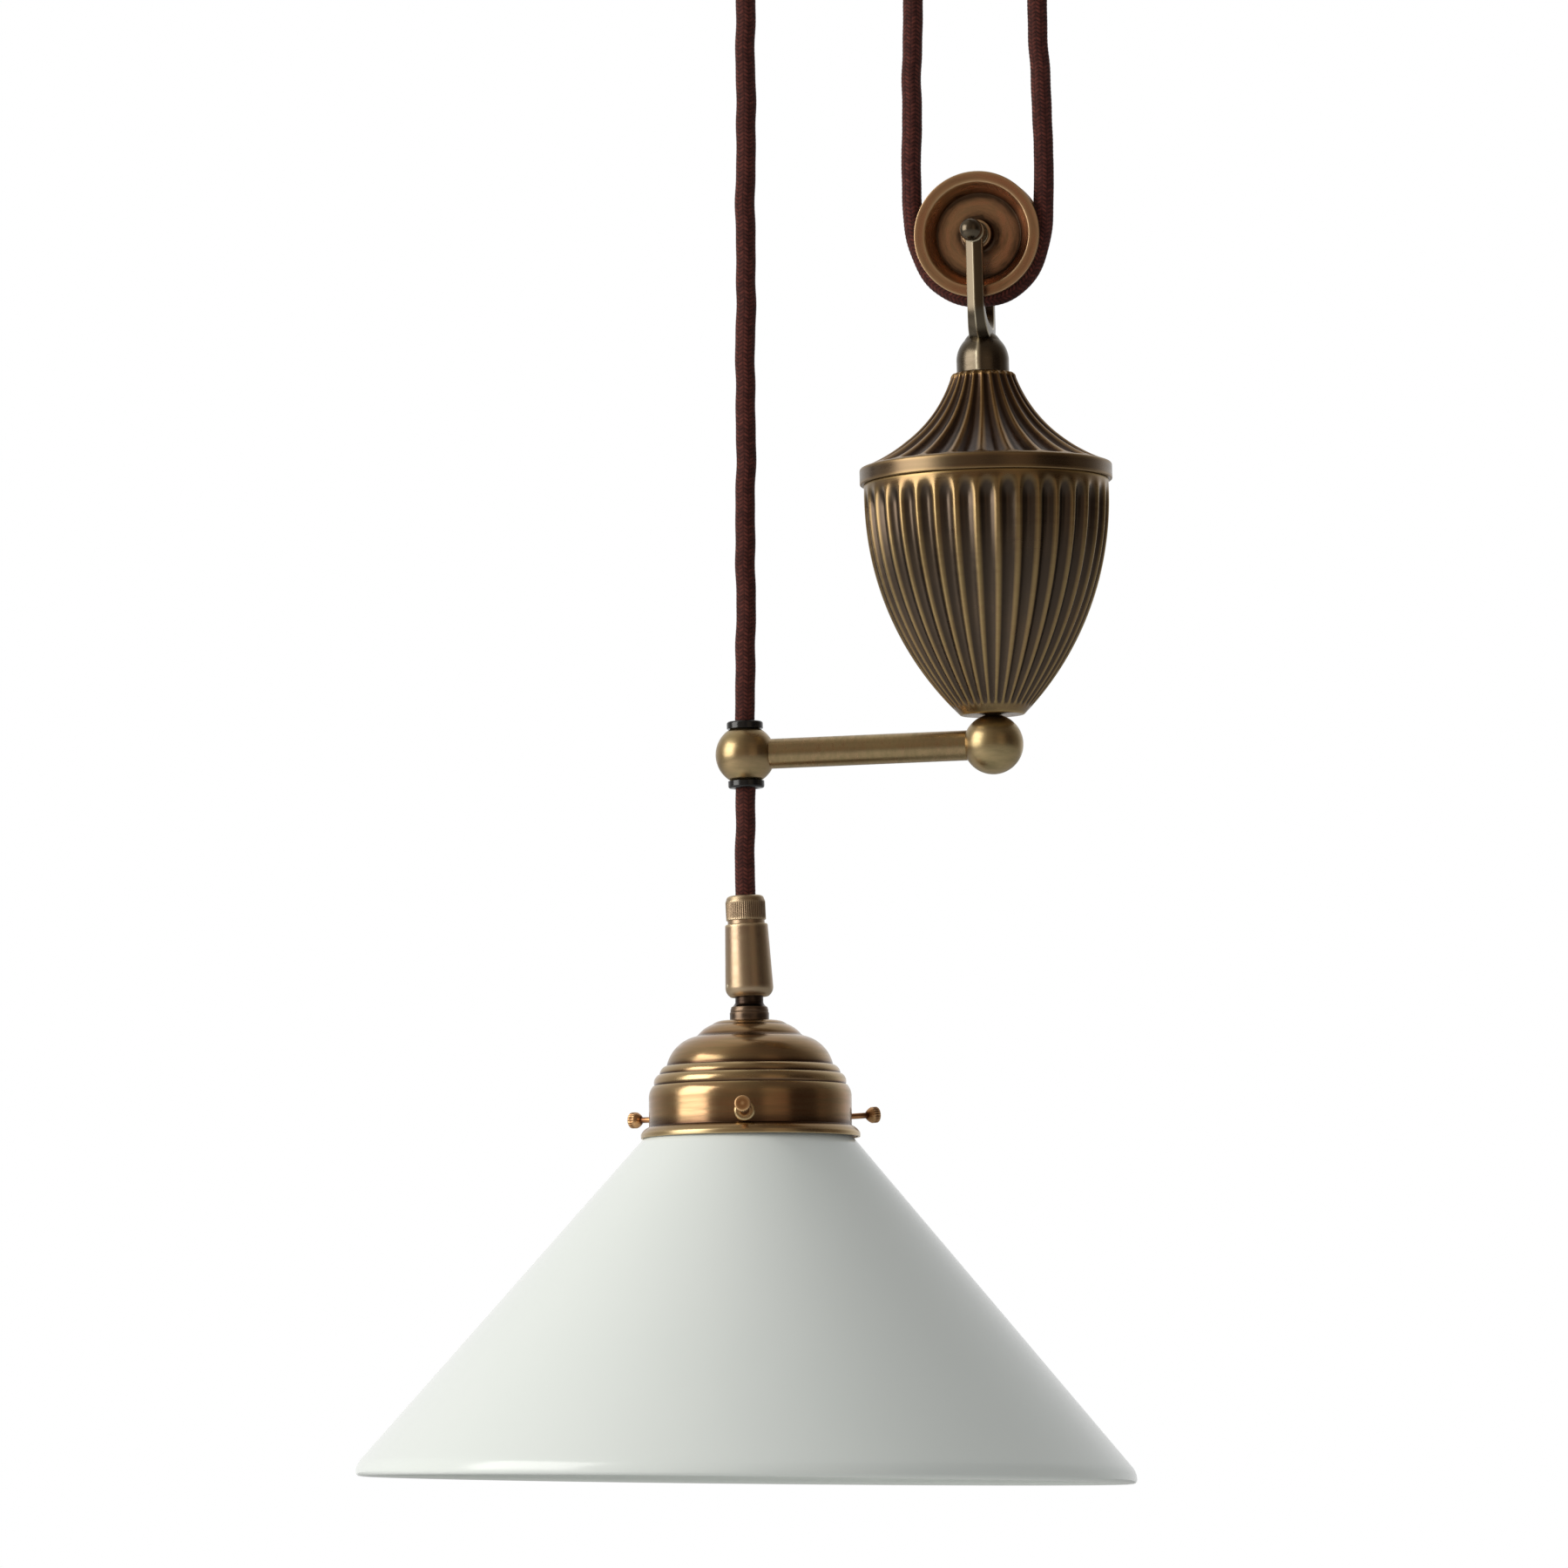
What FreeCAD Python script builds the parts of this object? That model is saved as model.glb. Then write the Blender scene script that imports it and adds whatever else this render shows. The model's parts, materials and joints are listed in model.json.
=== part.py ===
import FreeCAD, Part
import math
import os

import Sketcher

# A rise and fall pendant. One braided cord is fixed in the ceiling unit, runs down round the
# counterweight's pulley, up over the ceiling pulley and down to the lamp, so the counterweight moves
# half as far as the lamp and weighs twice as much. Its guide arm slides on the lamp's cord.
# Millimetres and degrees. X runs from the lamp to the counterweight, Z up, origin on the ceiling.

SIZES = {
    "cord and clearances": [
        ("cord_r", 4.5, "braided cord, radius"),
        ("play", 0.3, "between faces that move past each other"),
        ("pin_play", 0.05, "round a pin in its bore"),
    ],
    "layout": [
        ("upper_x", -45.4, "axle of the ceiling pulley"),
        ("upper_z", -100, "axle of the ceiling pulley"),
        ("weight_x", 22.5, "axle of the counterweight"),
        ("weight_z", -324.4, "axle of the counterweight"),
        ("weight_lean", 1.5, "the arm holds the counterweight off plumb"),
        ("lamp_x", -82.9, "ball of the lamp's joint"),
        ("lamp_z", -659.4, "ball of the lamp's joint"),
        ("grip_lean", 2.8, "the stiff cord holds the joint's barrel off plumb"),
        ("shade_lean", 0.6, "the shade hangs slightly off plumb"),
        ("glass_lean", 0.6, "the glass sits crooked on its screws, the other way"),
        ("gland_x", 42, "where the cord is fixed in the ceiling unit"),
        ("cord_top", -43, "fixed end inside the gland"),
        ("split_z", -290, "strands end and the counterweight's turn of cord begins"),
        ("fixed_split_x", 51.9, "fixed strand there"),
        ("rising_split_x", -8.6, "rising strand there"),
        ("cord_bow", 180, "radius at which the stiff cord bends onto the wheel"),
        ("cord_in_grip", 34, "joint's centre to the cord's end in the grip"),
    ],
    "ceiling plate and canopy": [
        ("plate_r", 56, "steel plate, radius"),
        ("plate_thick", 2, "steel plate"),
        ("fixing_y", 40, "ceiling screws, from the centre"),
        ("fixing_hole_r", 2.5, "ceiling screws, hole"),
        ("cable_x", 12, "supply cable's hole"),
        ("cable_y", 24, "supply cable's hole"),
        ("cable_hole_r", 6, "supply cable's hole"),
        ("canopy_r", 70, "at the ceiling"),
        ("canopy_high", 36, "height"),
        ("canopy_wall", 1.2, "spun brass sheet"),
        ("canopy_skirt", 7, "plain band at the ceiling"),
        ("canopy_cove_r", 24, "cove above the step"),
        ("canopy_step_r", 63.5, "step between cove and bowl"),
        ("canopy_bowl_r", 61, "bowl below the step"),
        ("canopy_turn_r", 8, "bowl's rounded edge"),
        ("pillar_across", 13, "hanger's hexagon pillar, across flats"),
        ("spigot_r", 3.5, "pillars' riveted ends"),
        ("hanger_stem_r", 5, "threaded stem of the hanger"),
        ("stud_x", 22, "canopy pillars"),
        ("stud_y", 40, "canopy pillars"),
        ("stud_r", 4, "canopy pillars"),
        ("canopy_screw_r", 2, "shank"),
        ("canopy_head_r", 5.5, "head"),
        ("canopy_head_high", 5, "head"),
        ("gland_r", 8, "flange"),
        ("gland_thread_r", 6.4, "thread"),
        ("gland_bore_r", 5, "cord's way through"),
        ("gland_flange", 2.5, "flange thickness"),
        ("gland_drop", 13, "gland below the canopy"),
        ("gland_rise", 9, "gland inside the canopy"),
        ("gland_cap_r", 8.85, "cap nut"),
        ("gland_cap_lip", 2, "cap nut's end"),
        ("lock_nut_thick", 4, "gland's lock nut"),
        ("lock_nut_across", 17, "gland's lock nut, across flats"),
        ("block_long", 30, "terminal block"),
        ("block_wide", 16, "terminal block"),
        ("block_high", 14, "terminal block"),
        ("block_pitch", 10, "between its ways"),
        ("block_bore_r", 2.2, "its wire holes"),
        ("block_screw_r", 1.8, "its screw wells"),
    ],
    "pulleys, axles and forks": [
        ("upper_cord_r", 39.2, "ceiling pulley, to the cord's centre"),
        ("lower_cord_r", 28, "counterweight pulley, to the cord's centre"),
        ("wheel_half", 7.7, "half a wheel's width"),
        ("wheel_lip", 0.5, "flange beyond the cord's centre line"),
        ("wheel_rim", 4.7, "flat ring of the face"),
        ("wheel_cone", 4.6, "width of the sloping ring inside it"),
        ("web_half", 1.4, "half the web's thickness"),
        ("hub_r", 6.5, "hub"),
        ("hub_cove", 2, "hub's cove onto the web"),
        ("bush_r", 4, "bronze bush, outer"),
        ("axle_r", 2.5, "axle"),
        ("arm_across", 7.4, "fork's hexagon arms, across flats"),
        ("arm_y", 13.6, "fork's arms, from the middle plane"),
        ("eye_r", 5, "fork's eyes"),
        ("eye_half", 4.3, "half an eye's thickness"),
        ("side_washer_r", 5.6, "washers beside the hub"),
        ("ball_nut_r", 5.15, "axle's ball nuts"),
        ("ball_nut_y", 22.6, "their centres"),
        ("ball_nut_collar_r", 4.4, "collar against the eye"),
        ("ball_nut_collar", 1.2, "collar's thickness"),
        ("axle_end_y", 23.5, "axle's end inside the ball nut"),
        ("hanger_reach", 39.5, "axle to the hanger's bend"),
        ("hanger_foot_r", 9, "hanger's foot on the canopy"),
        ("hanger_foot_thick", 3, "its edge"),
        ("fork_reach", 31.6, "axle to the fork's bend"),
        ("foot_top", 44.4, "axle to the top of the fork's foot"),
        ("foot_base", 62.1, "axle to the seat of the fork's foot"),
        ("foot_r", 12, "fork's foot, half width"),
        ("foot_neck_r", 5.6, "fork's foot at its neck"),
        ("foot_ridge", 0.7, "how far its front and back ridges stand out"),
    ],
    "urn": [
        ("cap_edge", 2.2, "its rounded edge"),
        ("cap_roof", 4, "thickness of its top"),
        ("cap_sweep_x", 72.5, "centre of its sweep, from the axis"),
        ("cap_sweep_z", 43.5, "centre of its sweep, from the axle"),
        ("cap_base", 100.6, "axle to the cap's base"),
        ("cap_sweep_r", 61.4, "cap's hollow sweep"),
        ("cap_wall", 3.4, "cap's wall"),
        ("band_r", 56.5, "band"),
        ("band_low", 112.4, "axle to the band's lower face"),
        ("band_face", 5, "height of its upright face"),
        ("band_shoulder_r", 13, "rounding of its shoulder"),
        ("band_turn", 1.6, "its lower rounding"),
        ("band_bore_r", 40, "bore"),
        ("band_spigot_r", 43, "spigot up into the cap"),
        ("band_lip", 2, "spigots up into the cap and down into the vessel"),
        ("vessel_sweep_x", 83, "centre of its sweep, beyond the axis"),
        ("vessel_sweep_z", 118.15, "centre of its sweep, from the axle"),
        ("vessel_sweep_r", 138.5, "vessel's bulging sweep"),
        ("vessel_base", 216.4, "axle to the vessel's base"),
        ("vessel_wall", 4, "vessel's wall at the ridges"),
        ("ballast_top", 155.8, "axle to the top of the iron ballast"),
        ("ballast_gap", 0.8, "ballast to vessel"),
        ("rod_r", 3, "tie rod"),
        ("rod_top", 52, "axle to its upper end"),
        ("rod_low", 224.5, "axle to its lower end"),
        ("rod_nut_thick", 5, "nut on the ballast"),
        ("rod_nut_across", 11, "nut on the ballast, across flats"),
        ("cap_flutes", 24, "their count"),
        ("vessel_flutes", 36, "their count"),
        ("vessel_flute_deep", 0.029, "depth, as a share of the vessel's radius there"),
        ("vessel_flute_wide", 0.82, "width, as a share of the pitch"),
    ],
    "guide arm": [
        ("arm_drop", 229.5, "axle to the arm"),
        ("arm_long", 113.1, "ball to ball"),
        ("arm_ball_r", 13.5, "balls"),
        ("arm_tube_r", 6.75, "tube"),
        ("arm_tube_wall", 1, "tube"),
        ("arm_socket", 9.5, "ball's centre to the tube's end"),
        ("guide_bore_r", 6.3, "guide ball's bore"),
        ("guide_flat", 11.8, "guide ball's centre to its flats"),
        ("grommet_r", 8.15, "grommet's flange"),
        ("grommet_thick", 3.3, "grommet's flange"),
        ("grommet_bore_r", 5.2, "grommet's bore"),
        ("grommet_long", 7, "grommet's sleeve"),
    ],
    "cord grip and ball joint": [
        ("grip_low", 28.1, "joint's centre to the grip nut"),
        ("grip_high", 39.2, "joint's centre to its crown"),
        ("grip_r", 8.85, "grip nut"),
        ("grip_crown", 2.2, "height of its crown"),
        ("grip_mouth_r", 6.1, "crown's flat"),
        ("grip_crown_r", 2.6, "rounding of its crown"),
        ("grip_thread_r", 6.6, "thread inside the nut"),
        ("grip_bore_r", 5, "cord's way into the nut"),
        ("grip_seat", 36, "joint's centre to the end of its thread"),
        ("groove_low", 26.3, "joint's centre to the groove under the nut"),
        ("groove_r", 8.3, "groove"),
        ("barrel_top_r", 9.62, "barrel"),
        ("barrel_low_r", 10.8, "barrel at the ball"),
        ("barrel_low", 6.6, "joint's centre to the barrel's mouth"),
        ("barrel_turn_r", 9.2, "barrel's lower edge"),
        ("barrel_swell", 2.2, "joint's centre to its widest"),
        ("barrel_edge_r", 4.5, "rounding below that"),
        ("barrel_bore_r", 8.6, "barrel's bore"),
        ("mouth_r", 7.4, "barrel's mouth"),
        ("mouth_flare_r", 8.4, "its countersink"),
        ("pin_r", 0.9, "barrel's stop pin"),
        ("pin_drop", 1.4, "joint's centre to the pin"),
        ("pin_angle", -55, "its place round the barrel, from the front"),
        ("ball_r", 8.2, "joint's ball"),
        ("seat_low", 4.2, "friction seat, lower edge"),
        ("seat_high", 10.5, "friction seat, upper face"),
        ("seat_bore_r", 4, "friction seat, bore"),
        ("spring_thick", 0.9, "disc spring"),
        ("spring_rise", 1.6, "disc spring, height of its cone"),
        ("cap_low", 16, "barrel cap, lower face"),
        ("spigot_top", 33, "barrel cap, upper end"),
        ("cap_bore_r", 5.2, "barrel cap, bore"),
        ("collet_r", 4.9, "collet, bore"),
        ("stem_r", 4.8, "ball's stem"),
        ("stem_neck_r", 6.4, "neck below the mouth"),
        ("stem_neck", 7.9, "joint's centre to the neck"),
        ("stem_waist", 9.4, "joint's centre to the waist's end"),
        ("neck_cove_r", 2.2, "cove below the waist"),
        ("stem_flare", 11.4, "joint's centre to the neck's foot"),
        ("stem_flare_r", 7.9, "neck's foot"),
        ("shank_r", 5, "stem's threaded shank"),
        ("shank_low", 36, "joint's centre to its end"),
        ("wire_bore_r", 2.6, "way for the lamp's wires"),
        ("collar_bead_r", 8.5, "collar's bead"),
        ("collar_bead", 2, "its height"),
        ("collar_r", 8.8, "collar"),
    ],
    "gallery and lampholder": [
        ("gallery_top", 17.1, "joint's centre to the gallery"),
        ("sheet", 1, "spun brass sheet"),
        ("crown_r", 12.6, "flat round the collar"),
        ("crown_turn", 4.2, "width of the crown's rounding"),
        ("crown_drop", 1.7, "height of the crown's rounding"),
        ("crown_turn_r", 7, "radius of the crown's rounding"),
        ("cove_r", 23.2, "edge of the second step"),
        ("cove_z", 23.4, "its level"),
        ("cove_turn_r", 14, "its rounding"),
        ("step", 0.7, "small steps between the turned mouldings"),
        ("dome_top_r", 24.2, "dome's upper edge"),
        ("dome_r", 37.4, "dome's lower edge"),
        ("dome_z", 37.4, "its level"),
        ("dome_sweep_r", 16.9, "dome's rounding"),
        ("bead_one_r", 40.6, "first bead"),
        ("bead_one_z", 41.3, "its groove"),
        ("bead_two_r", 42.9, "second bead"),
        ("bead_two_z", 46.3, "its groove"),
        ("bead_turn_r", 4.2, "the beads' rounding"),
        ("gallery_r", 45.5, "cylinder"),
        ("gallery_turn", 5.2, "height of its rounded shoulder"),
        ("gallery_turn_r", 8, "radius of its rounded shoulder"),
        ("lip_top", 64.6, "level where the lip flares out"),
        ("lip_edge", 67.9, "level where its edge begins"),
        ("lip_turn_r", 7, "rounding of the flare"),
        ("lip_low", 69.7, "lip's lower edge"),
        ("lip_r", 49.2, "lip's edge"),
        ("screw_z", 59.8, "thumb screws' holes"),
        ("screw_hole_r", 1.4, "their holes"),
        ("boss_r", 4.7, "screws' bosses"),
        ("boss_high", 1.8, "screws' bosses"),
        ("boss_bore_r", 1.9, "screws' bosses"),
        ("screw_r", 1.3, "thumb screw's shank"),
        ("screw_in", 3.6, "its tip, in from the cylinder"),
        ("screw_cone", 12.9, "its cone, out from the cylinder"),
        ("screw_neck", 15.9, "its knurled head, out from the cylinder"),
        ("screw_end", 18.9, "its outer end, out from the cylinder"),
        ("screw_head_r", 3.65, "its head"),
        ("screw_edge", 0.5, "its chamfer"),
        ("front_turn", 8, "front screw, place round the axis"),
        ("front_tilt", 7.5, "front screw, loose in its thread"),
        ("right_turn", 128, "right screw, place round the axis"),
        ("right_tilt", 4.2, "right screw, loose in its thread"),
        ("left_turn", 248, "left screw, place round the axis"),
        ("left_tilt", 0.5, "left screw, loose in its thread"),
        ("gallery_nut_thick", 4, "nut under the gallery"),
        ("gallery_nut_across", 14, "nut under the gallery, across flats"),
        ("holder_neck_r", 8, "lampholder's neck"),
        ("holder_top", 22.6, "lampholder's neck, upper face"),
        ("holder_shoulder", 29, "lampholder's shoulder"),
        ("holder_r", 18, "lampholder"),
        ("holder_split", 40, "cap to skirt"),
        ("holder_low", 80, "lampholder's mouth"),
        ("holder_wall", 1.8, "lampholder's wall"),
        ("core_r", 16.2, "ceramic core"),
        ("core_low", 50, "core's lower face"),
        ("shell_r", 13.25, "screw shell's bore"),
        ("shell_wall", 0.5, "screw shell"),
        ("shell_low", 77, "screw shell's mouth"),
        ("shell_seat_r", 14.6, "its wide end against the core, bore"),
        ("shell_step", 55.2, "level where it steps in"),
        ("contact_long", 14, "centre contact"),
        ("contact_wide", 5, "centre contact"),
        ("contact_thick", 0.6, "centre contact"),
        ("contact_spring", 4, "how far it springs out"),
    ],
    "glass": [
        ("glass_top", 50.5, "joint's centre to the glass"),
        ("glass_lip_r", 43.2, "lip that rests on the screws"),
        ("glass_lip_low", 57.4, "level under the lip"),
        ("glass_neck_r", 41.3, "neck"),
        ("glass_bevel", 1.4, "slope under the lip"),
        ("glass_cove_r", 6, "cove between neck and cone"),
        ("glass_wall", 3.6, "wall"),
        ("cone_r", 46.9, "cone where it leaves the gallery"),
        ("cone_z", 69.7, "level there"),
        ("cone_angle", 40.76, "slope from the vertical"),
        ("rim_r", 174.6, "rim"),
        ("rim_turn_r", 9, "turn of the rim to the vertical"),
    ],
}

V = FreeCAD.Vector
TO_WEIGHT = V(0, -1, 0)  # a turn about this axis carries a hanging end towards the counterweight

doc = FreeCAD.newDocument("rise_and_fall_pendant")
sheet = doc.addObject("Spreadsheet::Sheet", "dims")


class Size:
    """A value with the formula that gives it, so one expression draws a form and binds it."""

    def __init__(self, value, text=None):
        self.value = float(value)
        self.text = text if text else repr(self.value)

    def __add__(self, other):
        other = size(other)
        return Size(self.value + other.value, f"({self.text} + {other.text})")

    def __sub__(self, other):
        other = size(other)
        return Size(self.value - other.value, f"({self.text} - {other.text})")

    def __mul__(self, other):
        other = size(other)
        return Size(self.value * other.value, f"({self.text} * {other.text})")

    def __truediv__(self, other):
        other = size(other)
        return Size(self.value / other.value, f"({self.text} / {other.text})")

    def __neg__(self):
        return Size(-self.value, f"(-1 * {self.text})")

    def __radd__(self, other):
        return size(other) + self

    def __rsub__(self, other):
        return size(other) - self

    def __rmul__(self, other):
        return size(other) * self


def size(number):
    return number if isinstance(number, Size) else Size(number)


def sin(angle):
    angle = size(angle)
    return Size(math.sin(math.radians(angle.value)), f"sin({angle.text})")


def cos(angle):
    angle = size(angle)
    return Size(math.cos(math.radians(angle.value)), f"cos({angle.text})")


def tan(angle):
    return sin(angle) / cos(angle)


def root(number):
    return Size(math.sqrt(number.value), f"sqrt({number.text})")


def arcsin(number):
    return Size(math.degrees(math.asin(number.value)), f"asin({number.text})")


class Dims:
    """The sheet's rows by name."""


def fill_sheet():
    d = Dims()
    row = 1
    for group, rows in SIZES.items():
        sheet.set(f"A{row}", group)
        row += 1
        for name, value, words in rows:
            sheet.set(f"A{row}", name)
            sheet.set(f"B{row}", str(value))
            sheet.setAlias(f"B{row}", name)
            sheet.set(f"C{row}", words)
            setattr(d, name, Size(value, f"dims.{name}"))
            row += 1
    doc.recompute()
    return d


d = fill_sheet()
parts = []


# ---- drawing helpers ----

def bind(item, path, number):
    """Set one property by its formula."""
    item.setExpression(path, size(number).text)


class Frame:
    """A place in the pendant: a point of the XZ plane and a lean that carries hanging ends to +X."""

    def __init__(self, x, z, lean=0):
        self.x, self.z, self.lean = size(x), size(z), size(lean)

    def at(self, x, z):
        """The frame at a point given in this frame."""
        turn_x = x * cos(self.lean) - z * sin(self.lean)
        turn_z = x * sin(self.lean) + z * cos(self.lean)
        return Frame(self.x + turn_x, self.z + turn_z, self.lean)

    def placement(self):
        turn = FreeCAD.Rotation(TO_WEIGHT, self.lean.value)
        return FreeCAD.Placement(V(self.x.value, 0, self.z.value), turn)


def keep(item, name, frame):
    """Name a finished sub-part, put it in its place and list it for writing."""
    item.Label = name
    item.Placement = FreeCAD.Placement(V(), FreeCAD.Rotation(TO_WEIGHT, 1))
    bind(item, "Placement.Base.x", frame.x)
    bind(item, "Placement.Base.z", frame.z)
    bind(item, "Placement.Rotation.Angle", frame.lean)
    parts.append(item)
    return item


def new_body(name):
    body = doc.addObject("PartDesign::Body", name)
    body.AllowCompound = True
    return body


def plane(body, role):
    return next(item for item in body.Origin.OriginFeatures if item.Role == role)


def new_sketch(body, role, offset=(0, 0, 0)):
    """A sketch on one of the body's origin planes, moved by an offset in its own axes."""
    sketch = body.newObject("Sketcher::SketchObject", "sketch")
    sketch.AttachmentSupport = (plane(body, role), [""])
    sketch.MapMode = "FlatFace"
    for axis, number in zip("xyz", offset):
        bind(sketch, f"AttachmentOffset.Base.{axis}", number)
    return sketch


def arc_between(start, end, radius):
    """A circular arc of less than half a turn: left-handed for a radius above 0, else right-handed."""
    chord = end - start
    side = V(-chord.y, chord.x, 0).normalize()
    rise = math.sqrt(max(radius**2 - (chord.Length / 2) ** 2, 0))
    centre = (start + end) / 2 + side * math.copysign(rise, radius)
    first, last = (start, end) if radius > 0 else (end, start)
    angles = [math.atan2(p.y - centre.y, p.x - centre.x) for p in (first, last)]
    return Part.ArcOfCircle(Part.Circle(centre, V(0, 0, 1), abs(radius)), *angles)


def draw(sketch, steps, closed=True):
    """An outline through steps (x, y), or (x, y, radius) where an arc leads to the point."""
    steps = [tuple(size(number) for number in step) for step in steps]
    points = [V(step[0].value, step[1].value, 0) for step in steps]
    first_edge = sketch.GeometryCount
    count = len(steps) if closed else len(steps) - 1
    edges, starts, rules, sizes = [], [], [], []

    def rule(*values, formula=None):
        rules.append(Sketcher.Constraint(*values))
        sizes.append(formula)

    for index in range(count):
        target = (index + 1) % len(steps)
        edge = first_edge + index
        if len(steps[target]) == 3:
            radius = steps[target][2]
            edges.append(arc_between(points[index], points[target], radius.value))
            starts.append(1 if radius.value > 0 else 2)
            bow = radius if radius.value > 0 else -radius
            rule("Radius", edge, bow.value, formula=bow)
        else:
            edges.append(Part.LineSegment(points[index], points[target]))
            starts.append(1)
    ends = [3 - start for start in starts]
    for index in range(count - 1 if not closed else count):
        following = (index + 1) % count
        rule("Coincident", first_edge + index, ends[index], first_edge + following, starts[following])
    corners = [(first_edge + index, starts[index], steps[index]) for index in range(count)]
    if not closed:
        corners.append((first_edge + count - 1, ends[-1], steps[-1]))
    for edge, end, step in corners:
        for word, number in zip(("DistanceX", "DistanceY"), step[:2]):
            rule(word, edge, end, number.value, formula=number)
    sketch.addGeometry(edges, False)
    places = sketch.addConstraint(rules)
    for place, formula in zip(places, sizes):
        if formula and "dims" in formula.text:
            sketch.setExpression(f"Constraints[{place}]", formula.text)
    return sketch


def circles(sketch, rings):
    """Circles (x, y, radius)."""
    for ring in rings:
        x, y, radius = (size(number) for number in ring)
        circle = Part.Circle(V(x.value, y.value, 0), V(0, 0, 1), radius.value)
        edge = sketch.addGeometry(circle, False)
        rules = [
            Sketcher.Constraint("DistanceX", edge, 3, x.value),
            Sketcher.Constraint("DistanceY", edge, 3, y.value),
            Sketcher.Constraint("Radius", edge, radius.value),
        ]
        for place, formula in zip(sketch.addConstraint(rules), (x, y, radius)):
            sketch.setExpression(f"Constraints[{place}]", formula.text)
    return sketch


def turn(body, outlines, role="XZ_Plane", axis="V_Axis", cut=False, offset=(0, 0, 0)):
    """Turn outlines round an axis of their sketch, as new stock or as a groove."""
    sketch = new_sketch(body, role, offset)
    for outline in outlines:
        draw(sketch, outline)
    kind = "PartDesign::Groove" if cut else "PartDesign::Revolution"
    feature = body.newObject(kind, "turning")
    feature.Profile = sketch
    feature.ReferenceAxis = (sketch, [axis])
    feature.Angle = 360
    return feature


def mirror(body, feature, role):
    twin = body.newObject("PartDesign::Mirrored", "twin")
    twin.Originals = [feature]
    twin.MirrorPlane = (plane(body, role), [""])
    body.Tip = twin
    return twin


def pad(body, sketch, length):
    feature = body.newObject("PartDesign::Pad", "pad")
    feature.Profile = sketch
    bind(feature, "Length", length)
    return feature


def drill(body, sketch, length=None):
    """Pocket a sketch both ways: right through, or to a whole depth centred on the sketch."""
    feature = body.newObject("PartDesign::Pocket", "drilling")
    feature.Profile = sketch
    feature.Midplane = True
    if length is None:
        feature.Type = "ThroughAll"
    else:
        bind(feature, "Length", length)
    return feature


def box_steps(x_low, x_high, y_low, y_high):
    return [(x_low, y_low), (x_high, y_low), (x_high, y_high), (x_low, y_high)]


def hexagon(across, x=0, y=0):
    """A hexagon with two corners on the Y direction."""
    corner = across / (2 * cos(30))
    return [(x + corner * cos(30 + 60 * i), y + corner * sin(30 + 60 * i)) for i in range(6)]


def turned(name, frame, outline, axis="V_Axis", role="XZ_Plane", twin=None, offset=(0, 0, 0)):
    """A turned piece, or a pair of them mirrored in a plane."""
    body = new_body(name)
    feature = turn(body, [outline], role, axis, offset=offset)
    if twin:
        mirror(body, feature, twin)
    return keep(body, name, frame)


def hexagon_nut(name, frame, across, bore_r, low, thick, x=0):
    body = new_body(name)
    sketch = draw(new_sketch(body, "XY_Plane", (0, 0, low)), hexagon(across, x))
    circles(sketch, [(x, 0, bore_r)])
    pad(body, sketch, thick)
    return keep(body, name, frame)


# ---- places of the moving groups ----

ceiling = Frame(0, 0)
upper_axle = Frame(d.upper_x, d.upper_z)
weight = Frame(d.weight_x, d.weight_z, d.weight_lean)
arm_end = weight.at(-d.arm_long, -d.arm_drop)
grip = Frame(d.lamp_x, d.lamp_z, d.grip_lean)
shade = Frame(d.lamp_x, d.lamp_z, d.shade_lean)
screws = [(d.front_turn, d.front_tilt), (d.right_turn, d.right_tilt), (d.left_turn, d.left_tilt)]


# ---- ceiling plate, pillars, canopy and its screws ----

floor_z = d.canopy_wall - d.canopy_high


def ceiling_plate():
    body = new_body("ceiling_plate")
    turn(body, [box_steps(0, d.plate_r, -d.plate_thick, 0)])
    holes = [
        (0, d.fixing_y, d.fixing_hole_r),
        (0, -d.fixing_y, d.fixing_hole_r),
        (d.cable_x, d.cable_y, d.cable_hole_r),
        (d.upper_x, 0, d.spigot_r),
        (d.stud_x, d.stud_y, d.canopy_screw_r),
        (d.stud_x, -d.stud_y, d.canopy_screw_r),
    ]
    drill(body, circles(new_sketch(body, "XY_Plane"), holes))
    keep(body, "ceiling_plate", ceiling)


def hanger_pillar():
    """Hexagon pillar riveted to the plate and tapped for the hanger's stem."""
    body = new_body("hanger_pillar")
    length = d.canopy_high - d.canopy_wall - d.plate_thick
    flats = hexagon(d.pillar_across, d.upper_x)
    pad(body, draw(new_sketch(body, "XY_Plane", (0, 0, floor_z)), flats), length)
    spigot = circles(new_sketch(body, "XY_Plane", (0, 0, -d.plate_thick)), [(d.upper_x, 0, d.spigot_r)])
    pad(body, spigot, d.plate_thick)
    thread = circles(new_sketch(body, "XY_Plane", (0, 0, floor_z)), [(d.upper_x, 0, d.hanger_stem_r)])
    drill(body, thread, length)
    keep(body, "hanger_pillar", ceiling)


def canopy_pillars():
    """Two round pillars riveted to the plate and tapped for the canopy's screws."""
    low = floor_z
    thread_top = low / 2
    outline = [
        (d.canopy_screw_r, low), (d.stud_r, low), (d.stud_r, -d.plate_thick),
        (d.canopy_screw_r, -d.plate_thick), (d.canopy_screw_r, 0), (0, 0),
        (0, thread_top), (d.canopy_screw_r, thread_top),
    ]
    offset = (d.stud_x, 0, d.stud_y)
    turned("canopy_pillars", ceiling, outline, twin="XZ_Plane", offset=offset)


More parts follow.
